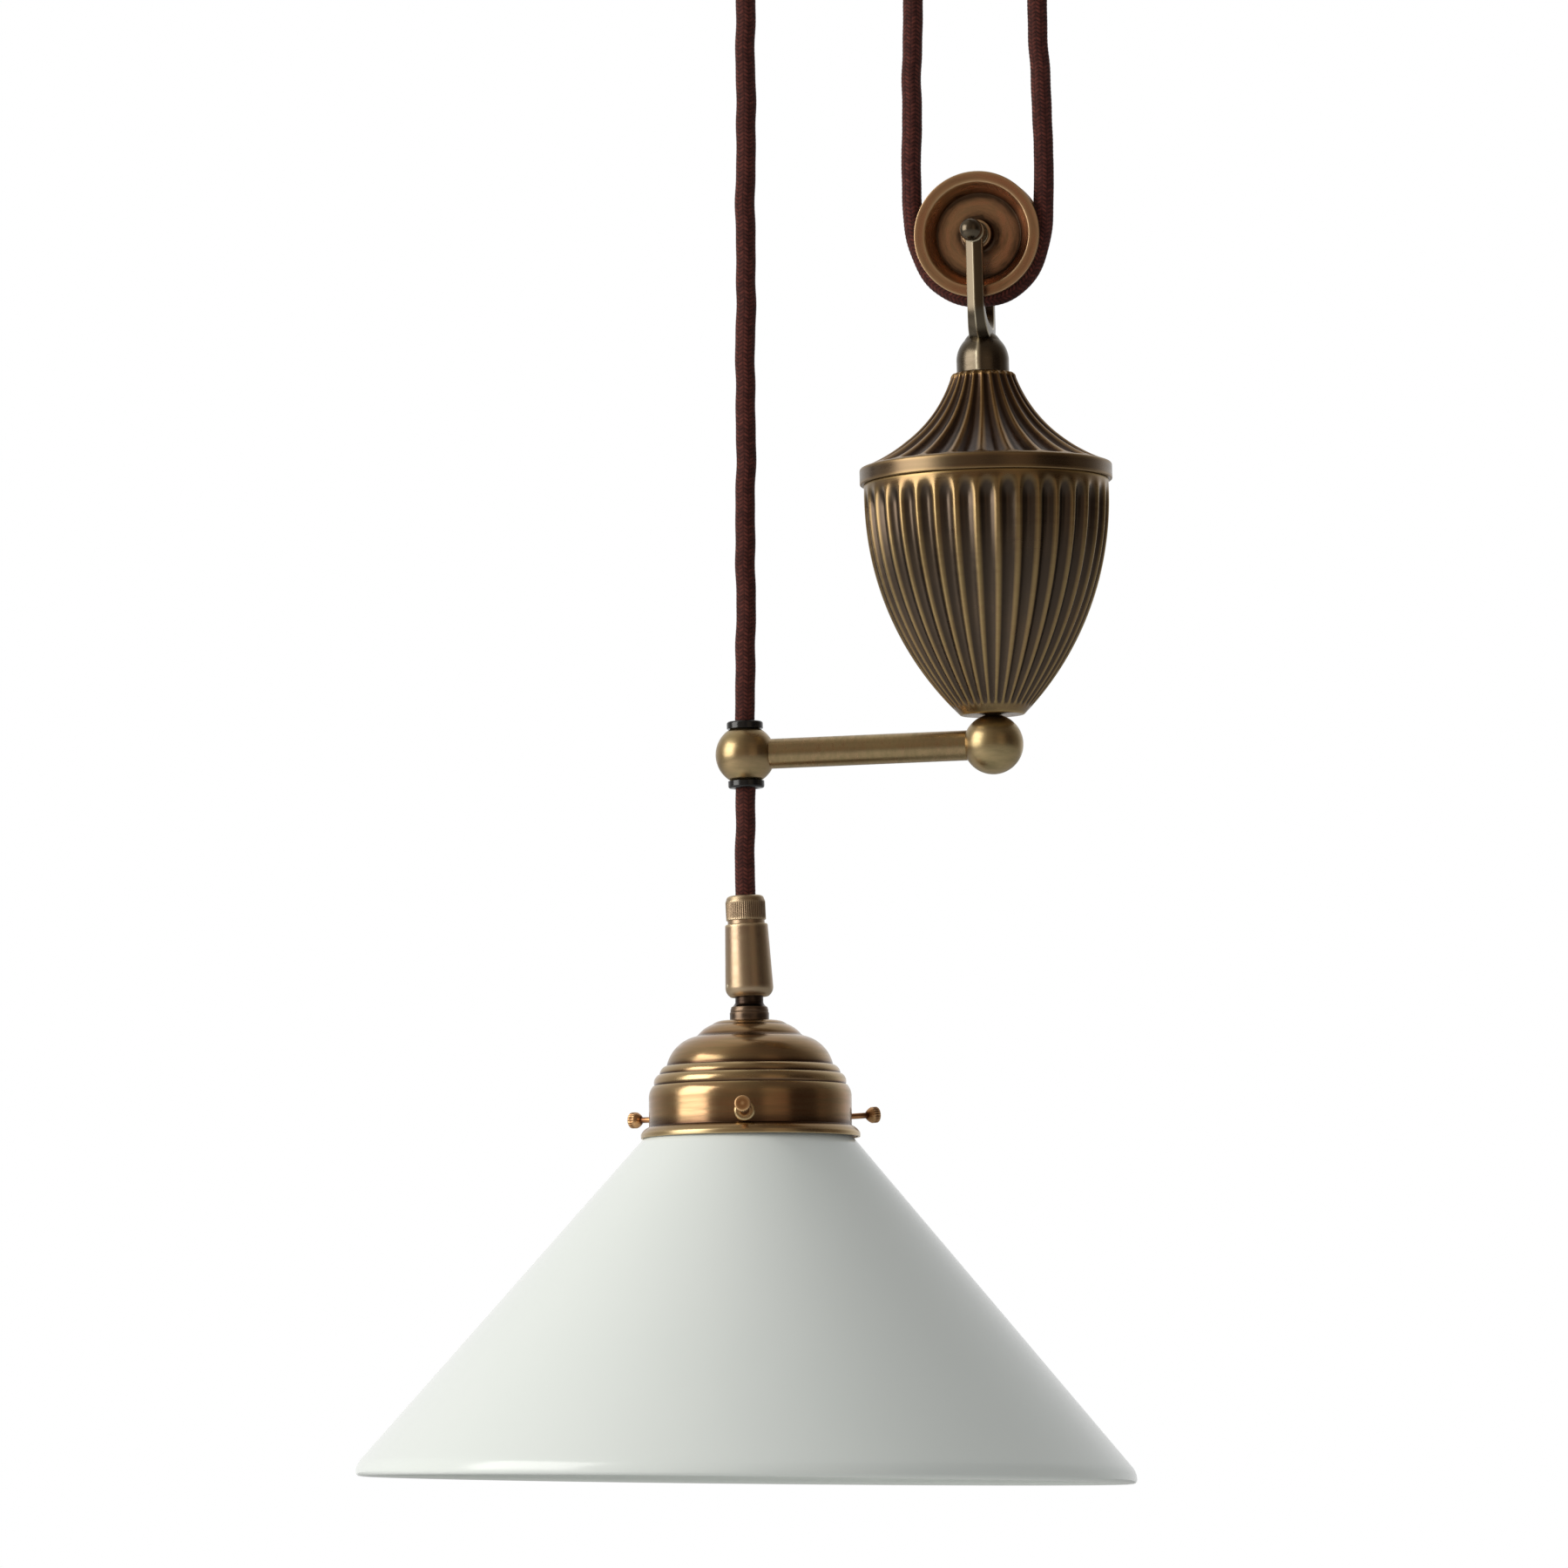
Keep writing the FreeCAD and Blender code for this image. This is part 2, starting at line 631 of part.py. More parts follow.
def canopy():
    """Spun brass canopy: plain band at the ceiling, cove, step and a rounded bowl."""
    body = new_body("canopy")
    wall = d.canopy_wall
    step_z = d.canopy_turn_r - d.canopy_high
    flat_r = d.canopy_bowl_r - d.canopy_turn_r
    inner_turn_r = d.canopy_turn_r - wall
    outline = [
        (0, -d.canopy_high), (flat_r, -d.canopy_high), (d.canopy_bowl_r, step_z, d.canopy_turn_r),
        (d.canopy_step_r, step_z), (d.canopy_r - wall, -d.canopy_skirt, -d.canopy_cove_r),
        (d.canopy_r, -d.canopy_skirt), (d.canopy_r, 0), (d.canopy_r - wall, 0),
        (d.canopy_r - wall, wall - d.canopy_skirt), (d.canopy_r - 2 * wall, wall - d.canopy_skirt),
        (d.canopy_step_r - wall, step_z + wall, d.canopy_cove_r + wall),
        (d.canopy_bowl_r - wall, step_z + wall), (d.canopy_bowl_r - wall, step_z),
        (flat_r, floor_z, -inner_turn_r), (0, floor_z),
    ]
    turn(body, [outline])
    holes = [
        (d.upper_x, 0, d.hanger_stem_r),
        (d.gland_x, 0, d.gland_thread_r),
        (d.stud_x, d.stud_y, d.canopy_screw_r),
        (d.stud_x, -d.stud_y, d.canopy_screw_r),
    ]
    drill(body, circles(new_sketch(body, "XY_Plane", (0, 0, -d.canopy_high)), holes), d.canopy_high / 2)
    keep(body, "canopy", ceiling)


def canopy_screws():
    """Two screws with domed heads that hold the canopy to its pillars."""
    head_low = -d.canopy_high - d.canopy_head_high
    edge_r = d.canopy_head_high / 2
    outline = [
        (0, head_low), (d.canopy_head_r - edge_r, head_low),
        (d.canopy_head_r, head_low + edge_r, edge_r), (d.canopy_head_r, -d.canopy_high),
        (d.canopy_screw_r, -d.canopy_high), (d.canopy_screw_r, floor_z / 2), (0, floor_z / 2),
    ]
    offset = (d.stud_x, 0, d.stud_y)
    turned("canopy_screws", ceiling, outline, twin="XZ_Plane", offset=offset)


def terminal_block():
    """Three-way block: a wire hole and a screw well for each way."""
    body = new_body("terminal_block")
    low = -d.plate_thick - d.block_high
    sketch = new_sketch(body, "XY_Plane", (0, 0, low))
    half_long, half_wide = d.block_long / 2, d.block_wide / 2
    pad(body, draw(sketch, box_steps(-half_long, half_long, -half_wide, half_wide)), d.block_high)
    ways = [d.block_pitch * step for step in (-1, 0, 1)]
    middle = low + d.block_high / 2
    drill(body, circles(new_sketch(body, "XZ_Plane"), [(x, middle, d.block_bore_r) for x in ways]))
    wells = circles(new_sketch(body, "XY_Plane", (0, 0, low)), [(x, 0, d.block_screw_r) for x in ways])
    drill(body, wells, d.block_high)
    keep(body, "terminal_block", ceiling)


def cord_gland():
    """The gland that holds the fixed end: threaded body, lock nut inside and cap nut below."""
    at_gland = Frame(d.gland_x, 0)
    under = -d.canopy_high
    shoulder = under - d.gland_flange
    low = under - d.gland_drop
    nut_top = floor_z + d.lock_nut_thick
    turned("gland_body", at_gland, [
        (d.gland_bore_r, low + d.gland_cap_lip), (d.gland_thread_r, low + d.gland_cap_lip),
        (d.gland_thread_r, shoulder), (d.gland_r, shoulder), (d.gland_r, under),
        (d.gland_thread_r, under), (d.gland_thread_r, under + d.gland_rise),
        (d.gland_bore_r, under + d.gland_rise),
    ])
    hexagon_nut("gland_lock_nut", at_gland, d.lock_nut_across, d.gland_thread_r, floor_z, nut_top - floor_z)
    edge = d.gland_cap_lip
    turned("gland_cap", at_gland, [
        (d.gland_bore_r, low), (d.gland_cap_r - edge, low), (d.gland_cap_r, low + edge, edge),
        (d.gland_cap_r, shoulder), (d.gland_thread_r, shoulder), (d.gland_thread_r, low + edge),
        (d.gland_bore_r, low + edge),
    ])


# ---- wheels, axles and forks, the same for both pulleys ----

def wheel(name, frame, cord_r):
    """Grooved wheel, dished on both faces, with a hub bored for its bush."""
    body = new_body(name)
    groove_r = d.cord_r + d.play
    rim_r = cord_r + d.wheel_lip
    groove_y = root(groove_r * groove_r - d.wheel_lip * d.wheel_lip)
    dish_r = rim_r - d.wheel_rim
    web_r = dish_r - d.wheel_cone
    hub_top = d.web_half + d.hub_cove
    face = d.wheel_half
    bottom_r = cord_r - groove_r
    right = [
        (0, bottom_r), (groove_y, rim_r, groove_r), (face, rim_r), (face, dish_r), (d.web_half, web_r),
        (d.web_half, d.hub_r + d.hub_cove), (hub_top, d.hub_r, -d.hub_cove), (face, d.hub_r),
        (face, d.bush_r), (0, d.bush_r),
    ]
    feature = turn(body, [right], "YZ_Plane", "H_Axis")
    mirror(body, feature, "XZ_Plane")
    keep(body, name, frame)


def bearing(prefix, frame):
    """Bush in the wheel, axle through the fork, a washer each side of the hub and two ball nuts."""
    bore_r = d.axle_r + d.pin_play
    turned(f"{prefix}_bush", frame, box_steps(-d.wheel_half, d.wheel_half, bore_r, d.bush_r),
           "H_Axis", "YZ_Plane")
    turned(f"{prefix}_axle", frame, box_steps(-d.axle_end_y, d.axle_end_y, 0, d.axle_r),
           "H_Axis", "YZ_Plane")
    washer_y = d.wheel_half + d.play
    turned(f"{prefix}_side_washers", frame,
           box_steps(washer_y, d.arm_y - d.eye_half, d.axle_r, d.side_washer_r),
           "H_Axis", "YZ_Plane", twin="XZ_Plane")
    seat = d.arm_y + d.eye_half
    collar = seat + d.ball_nut_collar
    base = d.ball_nut_y - collar
    base_r = root(d.ball_nut_r * d.ball_nut_r - base * base)
    turned(f"{prefix}_ball_nuts", frame, [
        (seat, d.axle_r), (d.axle_end_y, d.axle_r), (d.axle_end_y, 0), (d.ball_nut_y + d.ball_nut_r, 0),
        (d.ball_nut_y, d.ball_nut_r, d.ball_nut_r), (collar, base_r, d.ball_nut_r),
        (collar, d.ball_nut_collar_r), (seat, d.ball_nut_collar_r),
    ], "H_Axis", "YZ_Plane", twin="XZ_Plane")


def fork_arms(body, reach):
    """Two hexagon arms joined by a round bend under the wheel, with an eye at each end."""
    top = d.eye_r / 2
    profile = draw(new_sketch(body, "XY_Plane", (0, 0, top)), hexagon(d.arm_across, 0, d.arm_y))
    way = new_sketch(body, "YZ_Plane")
    draw(way, [
        (d.arm_y, top), (d.arm_y, -reach), (0, -reach - d.arm_y, -d.arm_y),
        (-d.arm_y, -reach, -d.arm_y), (-d.arm_y, top),
    ], closed=False)
    pipe = body.newObject("PartDesign::AdditivePipe", "arms")
    pipe.Profile = profile
    pipe.Spine = (way, ["Edge1", "Edge2", "Edge3", "Edge4"])
    inner, outer = d.arm_y - d.eye_half, d.arm_y + d.eye_half
    turn(body, [box_steps(inner, outer, 0, d.eye_r)], "YZ_Plane", "H_Axis")
    turn(body, [box_steps(-outer, -inner, 0, d.eye_r)], "YZ_Plane", "H_Axis")
    turn(body, [box_steps(-outer, outer, 0, d.axle_r)], "YZ_Plane", "H_Axis", cut=True)


def pulley_hanger():
    """The fork that hangs the upper pulley, foot up: its stem screws into the hexagon pillar."""
    body = new_body("pulley_hanger")
    fork_arms(body, d.hanger_reach)
    seat = -d.upper_z - d.canopy_high
    bend = d.hanger_reach + d.arm_y
    stem_top = seat + d.canopy_wall + (d.canopy_high - d.canopy_wall) / 2 - d.plate_thick
    turn(body, [[
        (0, -bend), (d.arm_across / 2, -bend),
        (d.hanger_foot_r, d.hanger_foot_thick - seat, -d.hanger_foot_r), (d.hanger_foot_r, -seat),
        (d.hanger_stem_r, -seat), (d.hanger_stem_r, -stem_top), (0, -stem_top),
    ]])
    keep(body, "pulley_hanger", Frame(d.upper_x, d.upper_z, 180))


def weight_fork():
    """The fork that carries the urn. Its foot swells to two bowed sides that meet in ridges."""
    body = new_body("weight_fork")
    fork_arms(body, d.fork_reach)
    height = d.foot_base - d.foot_top
    swell = d.foot_r - d.foot_neck_r
    sections = []
    for angle in range(0, 91, 18):
        half = d.foot_neck_r + swell * sin(angle)
        ridge = half + d.foot_ridge
        bow = (half * half + ridge * ridge) / (2 * half)
        level = height * (cos(angle) - 1) - d.foot_top
        sketch = new_sketch(body, "XY_Plane", (0, 0, level))
        sections.append(draw(sketch, [(0, -ridge, bow), (0, ridge, bow)]))
    foot = body.newObject("PartDesign::AdditiveLoft", "foot")
    foot.Profile = sections[0]
    foot.Sections = sections[1:]
    thread = circles(new_sketch(body, "XY_Plane", (0, 0, -d.foot_base)), [(0, 0, d.rod_r)])
    drill(body, thread, 2 * (d.foot_base - d.rod_top))
    keep(body, "weight_fork", weight)


# ---- urn: cap, band, vessel, ballast and tie rod; levels are measured down from the axle ----

def cap_r_at(level, inset=0):
    """Radius of the cap's hollow sweep at a level."""
    rise = level - d.cap_sweep_z
    sweep = d.cap_sweep_r + inset
    return d.cap_sweep_x - root(sweep * sweep - rise * rise)


def vessel_r_at(level, inset=0):
    """Radius of the vessel's bulging sweep at a level."""
    rise = level - d.vessel_sweep_z
    sweep = d.vessel_sweep_r - inset
    return root(sweep * sweep - rise * rise) - d.vessel_sweep_x


def flutes(body, count, sweep, rows):
    """Flutes round the axis: one is lofted through circles that dip into the wall and is repeated.

    The sweep is its centre (x, level) and radius. A row is a level, the depth as a share of the urn's
    radius there, the width as a share of the pitch, and how much of that depth the circle reaches.
    """
    centre_x, centre_level, sweep_r = sweep
    side = -1 if centre_x.value > 0 else 1
    rings = []
    for level, deep, wide, reached in rows:
        drop = arcsin((level - centre_level) / sweep_r)
        wall_r = centre_x + side * sweep_r * cos(drop)
        depth = deep * wall_r
        width = wide * 2 * math.pi * wall_r / count
        ring_r = width * width / (8 * depth) + depth / 2
        arm = sweep_r + side * (ring_r - depth * reached)
        place = (centre_x + side * arm * cos(drop), 0, -centre_level - arm * sin(drop))
        ring = new_sketch(body, "XY_Plane", place)
        base = V(*(size(number).value for number in place))
        ring.AttachmentOffset = FreeCAD.Placement(base, FreeCAD.Rotation(V(0, 1, 0), 1))
        bind(ring, "AttachmentOffset.Rotation.Angle", side * drop)
        rings.append(circles(ring, [(0, 0, ring_r)]))
    flute = body.newObject("PartDesign::SubtractiveLoft", "flute")
    flute.Profile = rings[0]
    flute.Sections = rings[1:]
    pattern = body.newObject("PartDesign::PolarPattern", "flutes")
    pattern.Originals = [flute]
    pattern.Axis = (plane(body, "Z_Axis"), [""])
    pattern.Angle = 360
    bind(pattern, "Occurrences", count)
    body.Tip = pattern


def urn_cap():
    """Hollow cap whose flutes flare like a bell and run out just above its base."""
    body = new_body("urn_cap")
    top, base, wall = d.foot_base, d.cap_base, d.cap_wall
    shoulder = top + d.cap_edge
    roof = top + d.cap_roof
    turn(body, [[
        (d.rod_r + d.pin_play, -top), (cap_r_at(shoulder) - d.cap_edge, -top),
        (cap_r_at(shoulder), -shoulder, -d.cap_edge), (cap_r_at(base), -base, d.cap_sweep_r),
        (d.band_spigot_r, -base), (d.band_spigot_r, d.band_lip - base),
        (cap_r_at(base - d.band_lip, wall), d.band_lip - base),
        (cap_r_at(roof, wall), -roof, -d.cap_sweep_r - wall), (d.rod_r + d.pin_play, -roof),
    ]])
    flutes(body, d.cap_flutes, (d.cap_sweep_x, d.cap_sweep_z, d.cap_sweep_r), [
        (top - 1.6, 0.075, 0.8, 1), (top + 3.9, 0.075, 0.8, 1), (top + 11.9, 0.07, 0.8, 1),
        (top + 19.9, 0.065, 0.8, 1), (base - 10.6, 0.055, 0.78, 1), (base - 4.6, 0.045, 0.76, 0.85),
        (base - 0.6, 0.04, 0.7, 0.3), (base + 0.9, 0.04, 0.7, -0.1),
    ])
    keep(body, "urn_cap", weight)


def urn_band():
    """Solid moulding with a spigot up into the cap and one down into the vessel."""
    spigot_r = vessel_r_at(d.band_low, d.vessel_wall)
    low = d.band_low
    face_low = d.band_low - d.band_turn
    turned("urn_band", weight, [
        (d.band_bore_r, -low - d.band_lip), (spigot_r - d.band_lip / 2, -low - d.band_lip), (spigot_r, -low),
        (d.band_r - d.band_turn, -low), (d.band_r, -face_low, d.band_turn),
        (d.band_r, d.band_face - face_low), (cap_r_at(d.cap_base), -d.cap_base, d.band_shoulder_r),
        (d.band_spigot_r, -d.cap_base), (d.band_spigot_r, d.band_lip - d.cap_base),
        (d.band_bore_r, d.band_lip - d.cap_base),
    ])


def urn_vessel():
    """Bulging vessel. Its flutes start below the band and end above the base."""
    body = new_body("urn_vessel")
    top, base, wall = d.band_low, d.vessel_base, d.vessel_wall
    floor = base - wall
    turn(body, [[
        (d.rod_r + d.pin_play, -base), (vessel_r_at(base), -base),
        (vessel_r_at(top), -top, d.vessel_sweep_r), (vessel_r_at(top, wall), -top),
        (vessel_r_at(floor, wall), -floor, wall - d.vessel_sweep_r), (d.rod_r + d.pin_play, -floor),
    ]])
    deep, wide = d.vessel_flute_deep, d.vessel_flute_wide
    starts = [(top + 3.8, -0.05), (top + 6.1, 0.62), (top + 9.1, 1)]
    middles = [(top + 22.6 + 15 * step, 1) for step in range(5)]
    ends = [(base - 9.4, 1), (base - 4.1, 0.8), (base - 2.6, -0.1)]
    rows = [(level, deep, wide, reached) for level, reached in starts + middles + ends]
    flutes(body, d.vessel_flutes, (-d.vessel_sweep_x, d.vessel_sweep_z, d.vessel_sweep_r), rows)
    keep(body, "urn_vessel", weight)


def ballast():
    """Iron casting that fills the vessel's lower half and clears its wall."""
    inset = d.vessel_wall + d.ballast_gap
    floor = d.vessel_base - d.vessel_wall
    turned("ballast", weight, [
        (d.rod_r + d.pin_play, -floor), (vessel_r_at(floor, inset), -floor),
        (vessel_r_at(d.ballast_top, inset), -d.ballast_top, d.vessel_sweep_r - inset),
        (d.rod_r + d.pin_play, -d.ballast_top),
    ])
    nut_low = -d.ballast_top
    hexagon_nut("rod_nut", weight, d.rod_nut_across, d.rod_r, nut_low, d.rod_nut_thick)


# ---- guide arm: ball, tube and ball that slides on the lamp's cord in two grommets ----

def socket(body, side):
    """A blind hole for the arm's tube in the ball's side that faces the tube."""
    sketch = new_sketch(body, "YZ_Plane", (0, 0, side * (d.arm_socket + d.arm_ball_r) / 2))
    drill(body, circles(sketch, [(0, 0, d.arm_tube_r)]), d.arm_ball_r - d.arm_socket)


def end_ball():
    body = new_body("end_ball")
    seat = d.arm_drop - d.vessel_base
    seat_r = root(d.arm_ball_r * d.arm_ball_r - seat * seat)
    thread_end = d.arm_drop - d.rod_low
    turn(body, [[
        (0, -d.arm_ball_r), (d.arm_ball_r, 0, d.arm_ball_r), (seat_r, seat, d.arm_ball_r),
        (d.rod_r, seat), (d.rod_r, thread_end), (0, thread_end),
    ]])
    socket(body, -1)
    keep(body, "end_ball", weight.at(0, -d.arm_drop))


def guide_ball():
    body = new_body("guide_ball")
    flat_r = root(d.arm_ball_r * d.arm_ball_r - d.guide_flat * d.guide_flat)
    turn(body, [[
        (d.guide_bore_r, -d.guide_flat), (flat_r, -d.guide_flat), (d.arm_ball_r, 0, d.arm_ball_r),
        (flat_r, d.guide_flat, d.arm_ball_r), (d.guide_bore_r, d.guide_flat),
    ]])
    socket(body, 1)
    keep(body, "guide_ball", arm_end)


def guide_arm():
    half_gap = d.arm_long - 2 * d.arm_socket
    turned("tie_rod", weight, box_steps(0, d.rod_r, -d.rod_low, -d.rod_top))
    end_ball()
    turned("arm_tube", weight.at(-d.arm_socket, -d.arm_drop),
           box_steps(-half_gap, 0, d.arm_tube_r - d.arm_tube_wall, d.arm_tube_r), "H_Axis")
    guide_ball()
    flange = d.guide_flat + d.grommet_thick
    bevel = d.grommet_thick / 3
    turned("guide_grommets", arm_end, [
        (d.grommet_bore_r, d.guide_flat - d.grommet_long), (d.guide_bore_r, d.guide_flat - d.grommet_long),
        (d.guide_bore_r, d.guide_flat), (d.grommet_r, d.guide_flat), (d.grommet_r, flange - bevel),
        (d.grommet_r - bevel, flange, bevel), (d.grommet_bore_r + bevel / 2, flange),
        (d.grommet_bore_r, flange - bevel / 2, bevel / 2),
    ], twin="XY_Plane")


# ---- cord grip and ball joint, levels from the ball's centre ----

def grip_nut():
    crown = d.grip_high - d.grip_crown
    turned("grip_nut", grip, [
        (d.grip_thread_r, d.grip_low), (d.grip_r, d.grip_low), (d.grip_r, crown),
        (d.grip_mouth_r, d.grip_high, d.grip_crown_r), (d.grip_bore_r, d.grip_high),
        (d.grip_bore_r, d.grip_seat), (d.grip_thread_r, d.grip_seat),
    ])
    turned("grip_collet", grip, box_steps(d.collet_r, d.grip_thread_r, d.spigot_top, d.grip_seat))


def barrel_cap():
    """Screwed into the barrel, with the thread that the grip nut pulls down on."""
    turned("barrel_cap", grip, [
        (d.cap_bore_r, d.cap_low), (d.barrel_bore_r, d.cap_low), (d.barrel_bore_r, d.groove_low),
        (d.groove_r, d.groove_low), (d.groove_r, d.grip_low), (d.grip_thread_r, d.grip_low),
        (d.grip_thread_r, d.spigot_top), (d.cap_bore_r, d.spigot_top),
    ])


def joint_barrel():
    """Tapered barrel that ends in a spherical seat under the ball; its pin stops a full turn."""
    seat_r = d.ball_r + d.play
    mouth = root(seat_r * seat_r - d.mouth_r * d.mouth_r)
    swell = -d.barrel_swell
    barrel = new_body("barrel_turning")
    turn(barrel, [[
        (d.barrel_bore_r, d.groove_low), (d.barrel_bore_r, 0), (seat_r, 0), (d.mouth_r, -mouth, -seat_r),
        (d.mouth_flare_r, -d.barrel_low), (d.barrel_turn_r, -d.barrel_low),
        (d.barrel_low_r, swell, d.barrel_edge_r), (d.barrel_top_r, d.groove_low),
    ]])
    pins = []
    for name in ("pin_hole", "pin"):
        pin = doc.addObject("Part::Cylinder", name)
        bind(pin, "Radius", d.pin_r)
        bind(pin, "Height", d.barrel_low_r - d.barrel_bore_r)
        pins.append(pin)
    hole, pin = pins
    spin = FreeCAD.Rotation(V(0, 0, 1), d.pin_angle.value - 90)
    start = spin.multVec(V(d.barrel_bore_r.value, 0, 0)) - V(0, 0, d.pin_drop.value)
    hole.Placement = FreeCAD.Placement(start, spin * FreeCAD.Rotation(V(0, 1, 0), 90))
    drilled = doc.addObject("Part::Cut", "joint_barrel")
    drilled.Base, drilled.Tool = barrel, hole
    keep(drilled, "joint_barrel", grip)
    pin.Label = "barrel_pin"
    pin.Placement = grip.placement() * hole.Placement
    parts.append(pin)


def friction_parts():
    seat_r = d.ball_r + d.play
    low_r = root(seat_r * seat_r - d.seat_low * d.seat_low)
    bore_z = root(seat_r * seat_r - d.seat_bore_r * d.seat_bore_r)
    turned("ball_seat", grip, [
        (d.seat_bore_r, bore_z), (low_r, d.seat_low, -seat_r), (d.ball_r, d.seat_low),
        (d.ball_r, d.seat_high), (d.seat_bore_r, d.seat_high),
    ])
    cone = d.spring_rise
    body = new_body("disc_springs")
    low = d.seat_high + d.play
    turn(body, [[
        (d.ball_r, low), (d.ball_r, low + d.spring_thick), (d.cap_bore_r, low + cone + d.spring_thick),
        (d.cap_bore_r, low + cone),
    ], [
        (d.ball_r, d.cap_low), (d.ball_r, d.cap_low - d.spring_thick),
        (d.cap_bore_r, d.cap_low - cone - d.spring_thick), (d.cap_bore_r, d.cap_low - cone),
    ]])
    keep(body, "disc_springs", grip)


def ball_stem():
    """Ball, neck and threaded shank in one turning, bored for the lamp's wires."""
    bore, shank = d.wire_bore_r, d.shank_r
    ball_top = root(d.ball_r * d.ball_r - bore * bore)
    ball_low = root(d.ball_r * d.ball_r - d.stem_r * d.stem_r)
    turned("ball_stem", shade, [
        (bore, -d.shank_low), (shank, -d.shank_low), (shank, -d.stem_flare), (d.stem_flare_r, -d.stem_flare),
        (d.stem_neck_r, -d.stem_waist, -d.neck_cove_r), (d.stem_neck_r, -d.stem_neck),
        (d.stem_r, -d.stem_neck), (d.stem_r, -ball_low), (bore, ball_top, d.ball_r),
    ])
    bead_low = d.stem_flare + d.collar_bead
    bead_r = d.collar_bead_r - d.collar_bead / 2
    turned("neck_collar", shade, [
        (shank, -d.gallery_top), (d.collar_r, -d.gallery_top), (d.collar_r, -bead_low), (bead_r, -bead_low),
        (bead_r, -d.stem_flare, d.collar_bead * 0.55), (shank, -d.stem_flare),
    ])


# ---- gallery, its screws, lampholder and glass ----

def gallery_outline():
    """Outside of the gallery from its bore to its lip: stepped crown, dome, two beads, cylinder, lip."""
    crown_z = d.gallery_top + d.crown_drop
    return [
        (d.shank_r, -d.gallery_top), (d.crown_r, -d.gallery_top),
        (d.crown_r + d.crown_turn, -crown_z, -d.crown_turn_r), (d.cove_r, -d.cove_z, -d.cove_turn_r),
        (d.dome_top_r, -d.cove_z - d.step), (d.dome_r, -d.dome_z, -d.dome_sweep_r),
        (d.dome_r + d.step, -d.dome_z), (d.bead_one_r, -d.bead_one_z, -d.bead_turn_r),
        (d.bead_one_r + d.step, -d.bead_one_z), (d.bead_two_r, -d.bead_two_z, -d.bead_turn_r),
        (d.bead_two_r + d.step, -d.bead_two_z),
        (d.gallery_r, -d.bead_two_z - d.gallery_turn, -d.gallery_turn_r), (d.gallery_r, -d.lip_top),
        (d.lip_r, -d.lip_edge, -d.lip_turn_r), (d.lip_r, -d.lip_low),
    ]


def screw_line(screw):
    """A thumb screw's place in the gallery: X points out along it, from the cylinder's surface."""
    turn_angle, tilt = (angle.value for angle in screw)
    spin = FreeCAD.Rotation(V(0, 0, 1), turn_angle - 90)
    start = spin.multVec(V(d.gallery_r.value, 0, 0)) - V(0, 0, d.screw_z.value)
    return FreeCAD.Placement(start, spin * FreeCAD.Rotation(V(0, -1, 0), tilt))


def gallery():
    """Spun shell of even sheet, drilled for the three screws."""
    outside = gallery_outline()
    inside = [(step[0] - d.sheet, step[1] - d.sheet) for step in outside]
    inside[0] = (d.shank_r, -d.gallery_top - d.sheet)
    inside[-1] = (d.lip_r - d.sheet, -d.lip_low)
    turns_in = [()] + [tuple(-radius for radius in step[2:]) for step in outside[:0:-1]]
    shell = new_body("gallery_turning")
    turn(shell, [outside + [step + bow for step, bow in zip(inside[::-1], turns_in)]])
    holes = []
    for screw in screws:
        hole = doc.addObject("Part::Cylinder", "screw_hole")
        bind(hole, "Radius", d.screw_hole_r)
        bind(hole, "Height", 2 * d.screw_in)
        inward = FreeCAD.Placement(V(-d.screw_in.value, 0, 0), FreeCAD.Rotation(V(0, 1, 0), 90))
        hole.Placement = screw_line(screw) * inward
        holes.append(hole)
    union = doc.addObject("Part::MultiFuse", "screw_holes")
    union.Shapes = holes
    cut = doc.addObject("Part::Cut", "gallery")
    cut.Base, cut.Tool = shell, union
    keep(cut, "gallery", shade)


def screw_bosses():
    """Three round bosses on the cylinder, one under each thumb screw."""
    body = new_body("screw_bosses")
    rings = new_sketch(body, "XZ_Plane")
    circles(rings, [(0, -d.screw_z, d.boss_r), (0, -d.screw_z, d.boss_bore_r)])
    rings.AttachmentOffset = FreeCAD.Placement(V(), FreeCAD.Rotation(V(0, 1, 0), 1))
    bind(rings, "AttachmentOffset.Rotation.Angle", d.front_turn)
    boss = pad(body, rings, d.gallery_r + d.boss_high)
    pattern = body.newObject("PartDesign::PolarPattern", "three")
    pattern.Originals = [boss]
    pattern.Axis = (rings, ["V_Axis"])
    pattern.Angle = 360
    pattern.Occurrences = len(screws)
    body.Tip = pattern
    turn(body, [box_steps(0, d.gallery_r, -d.lip_low, -d.bead_two_z)], cut=True)
    keep(body, "screw_bosses", shade)


def thumb_screws():
    """Knurled screws that hold the glass by its neck."""
    for number, screw in enumerate(screws, 1):
        body = new_body(f"thumb_screw_{number}")
        turn(body, [[
            (-d.screw_in, 0), (d.screw_end, 0), (d.screw_end, d.screw_head_r - d.screw_edge),
            (d.screw_end - d.screw_edge, d.screw_head_r), (d.screw_neck, d.screw_head_r),
            (d.screw_cone, d.screw_r, 2 * d.screw_head_r), (-d.screw_in, d.screw_r),
        ]], axis="H_Axis")
        body.Label = f"thumb_screw_{number}"
        body.Placement = shade.placement() * screw_line(screw)
        parts.append(body)


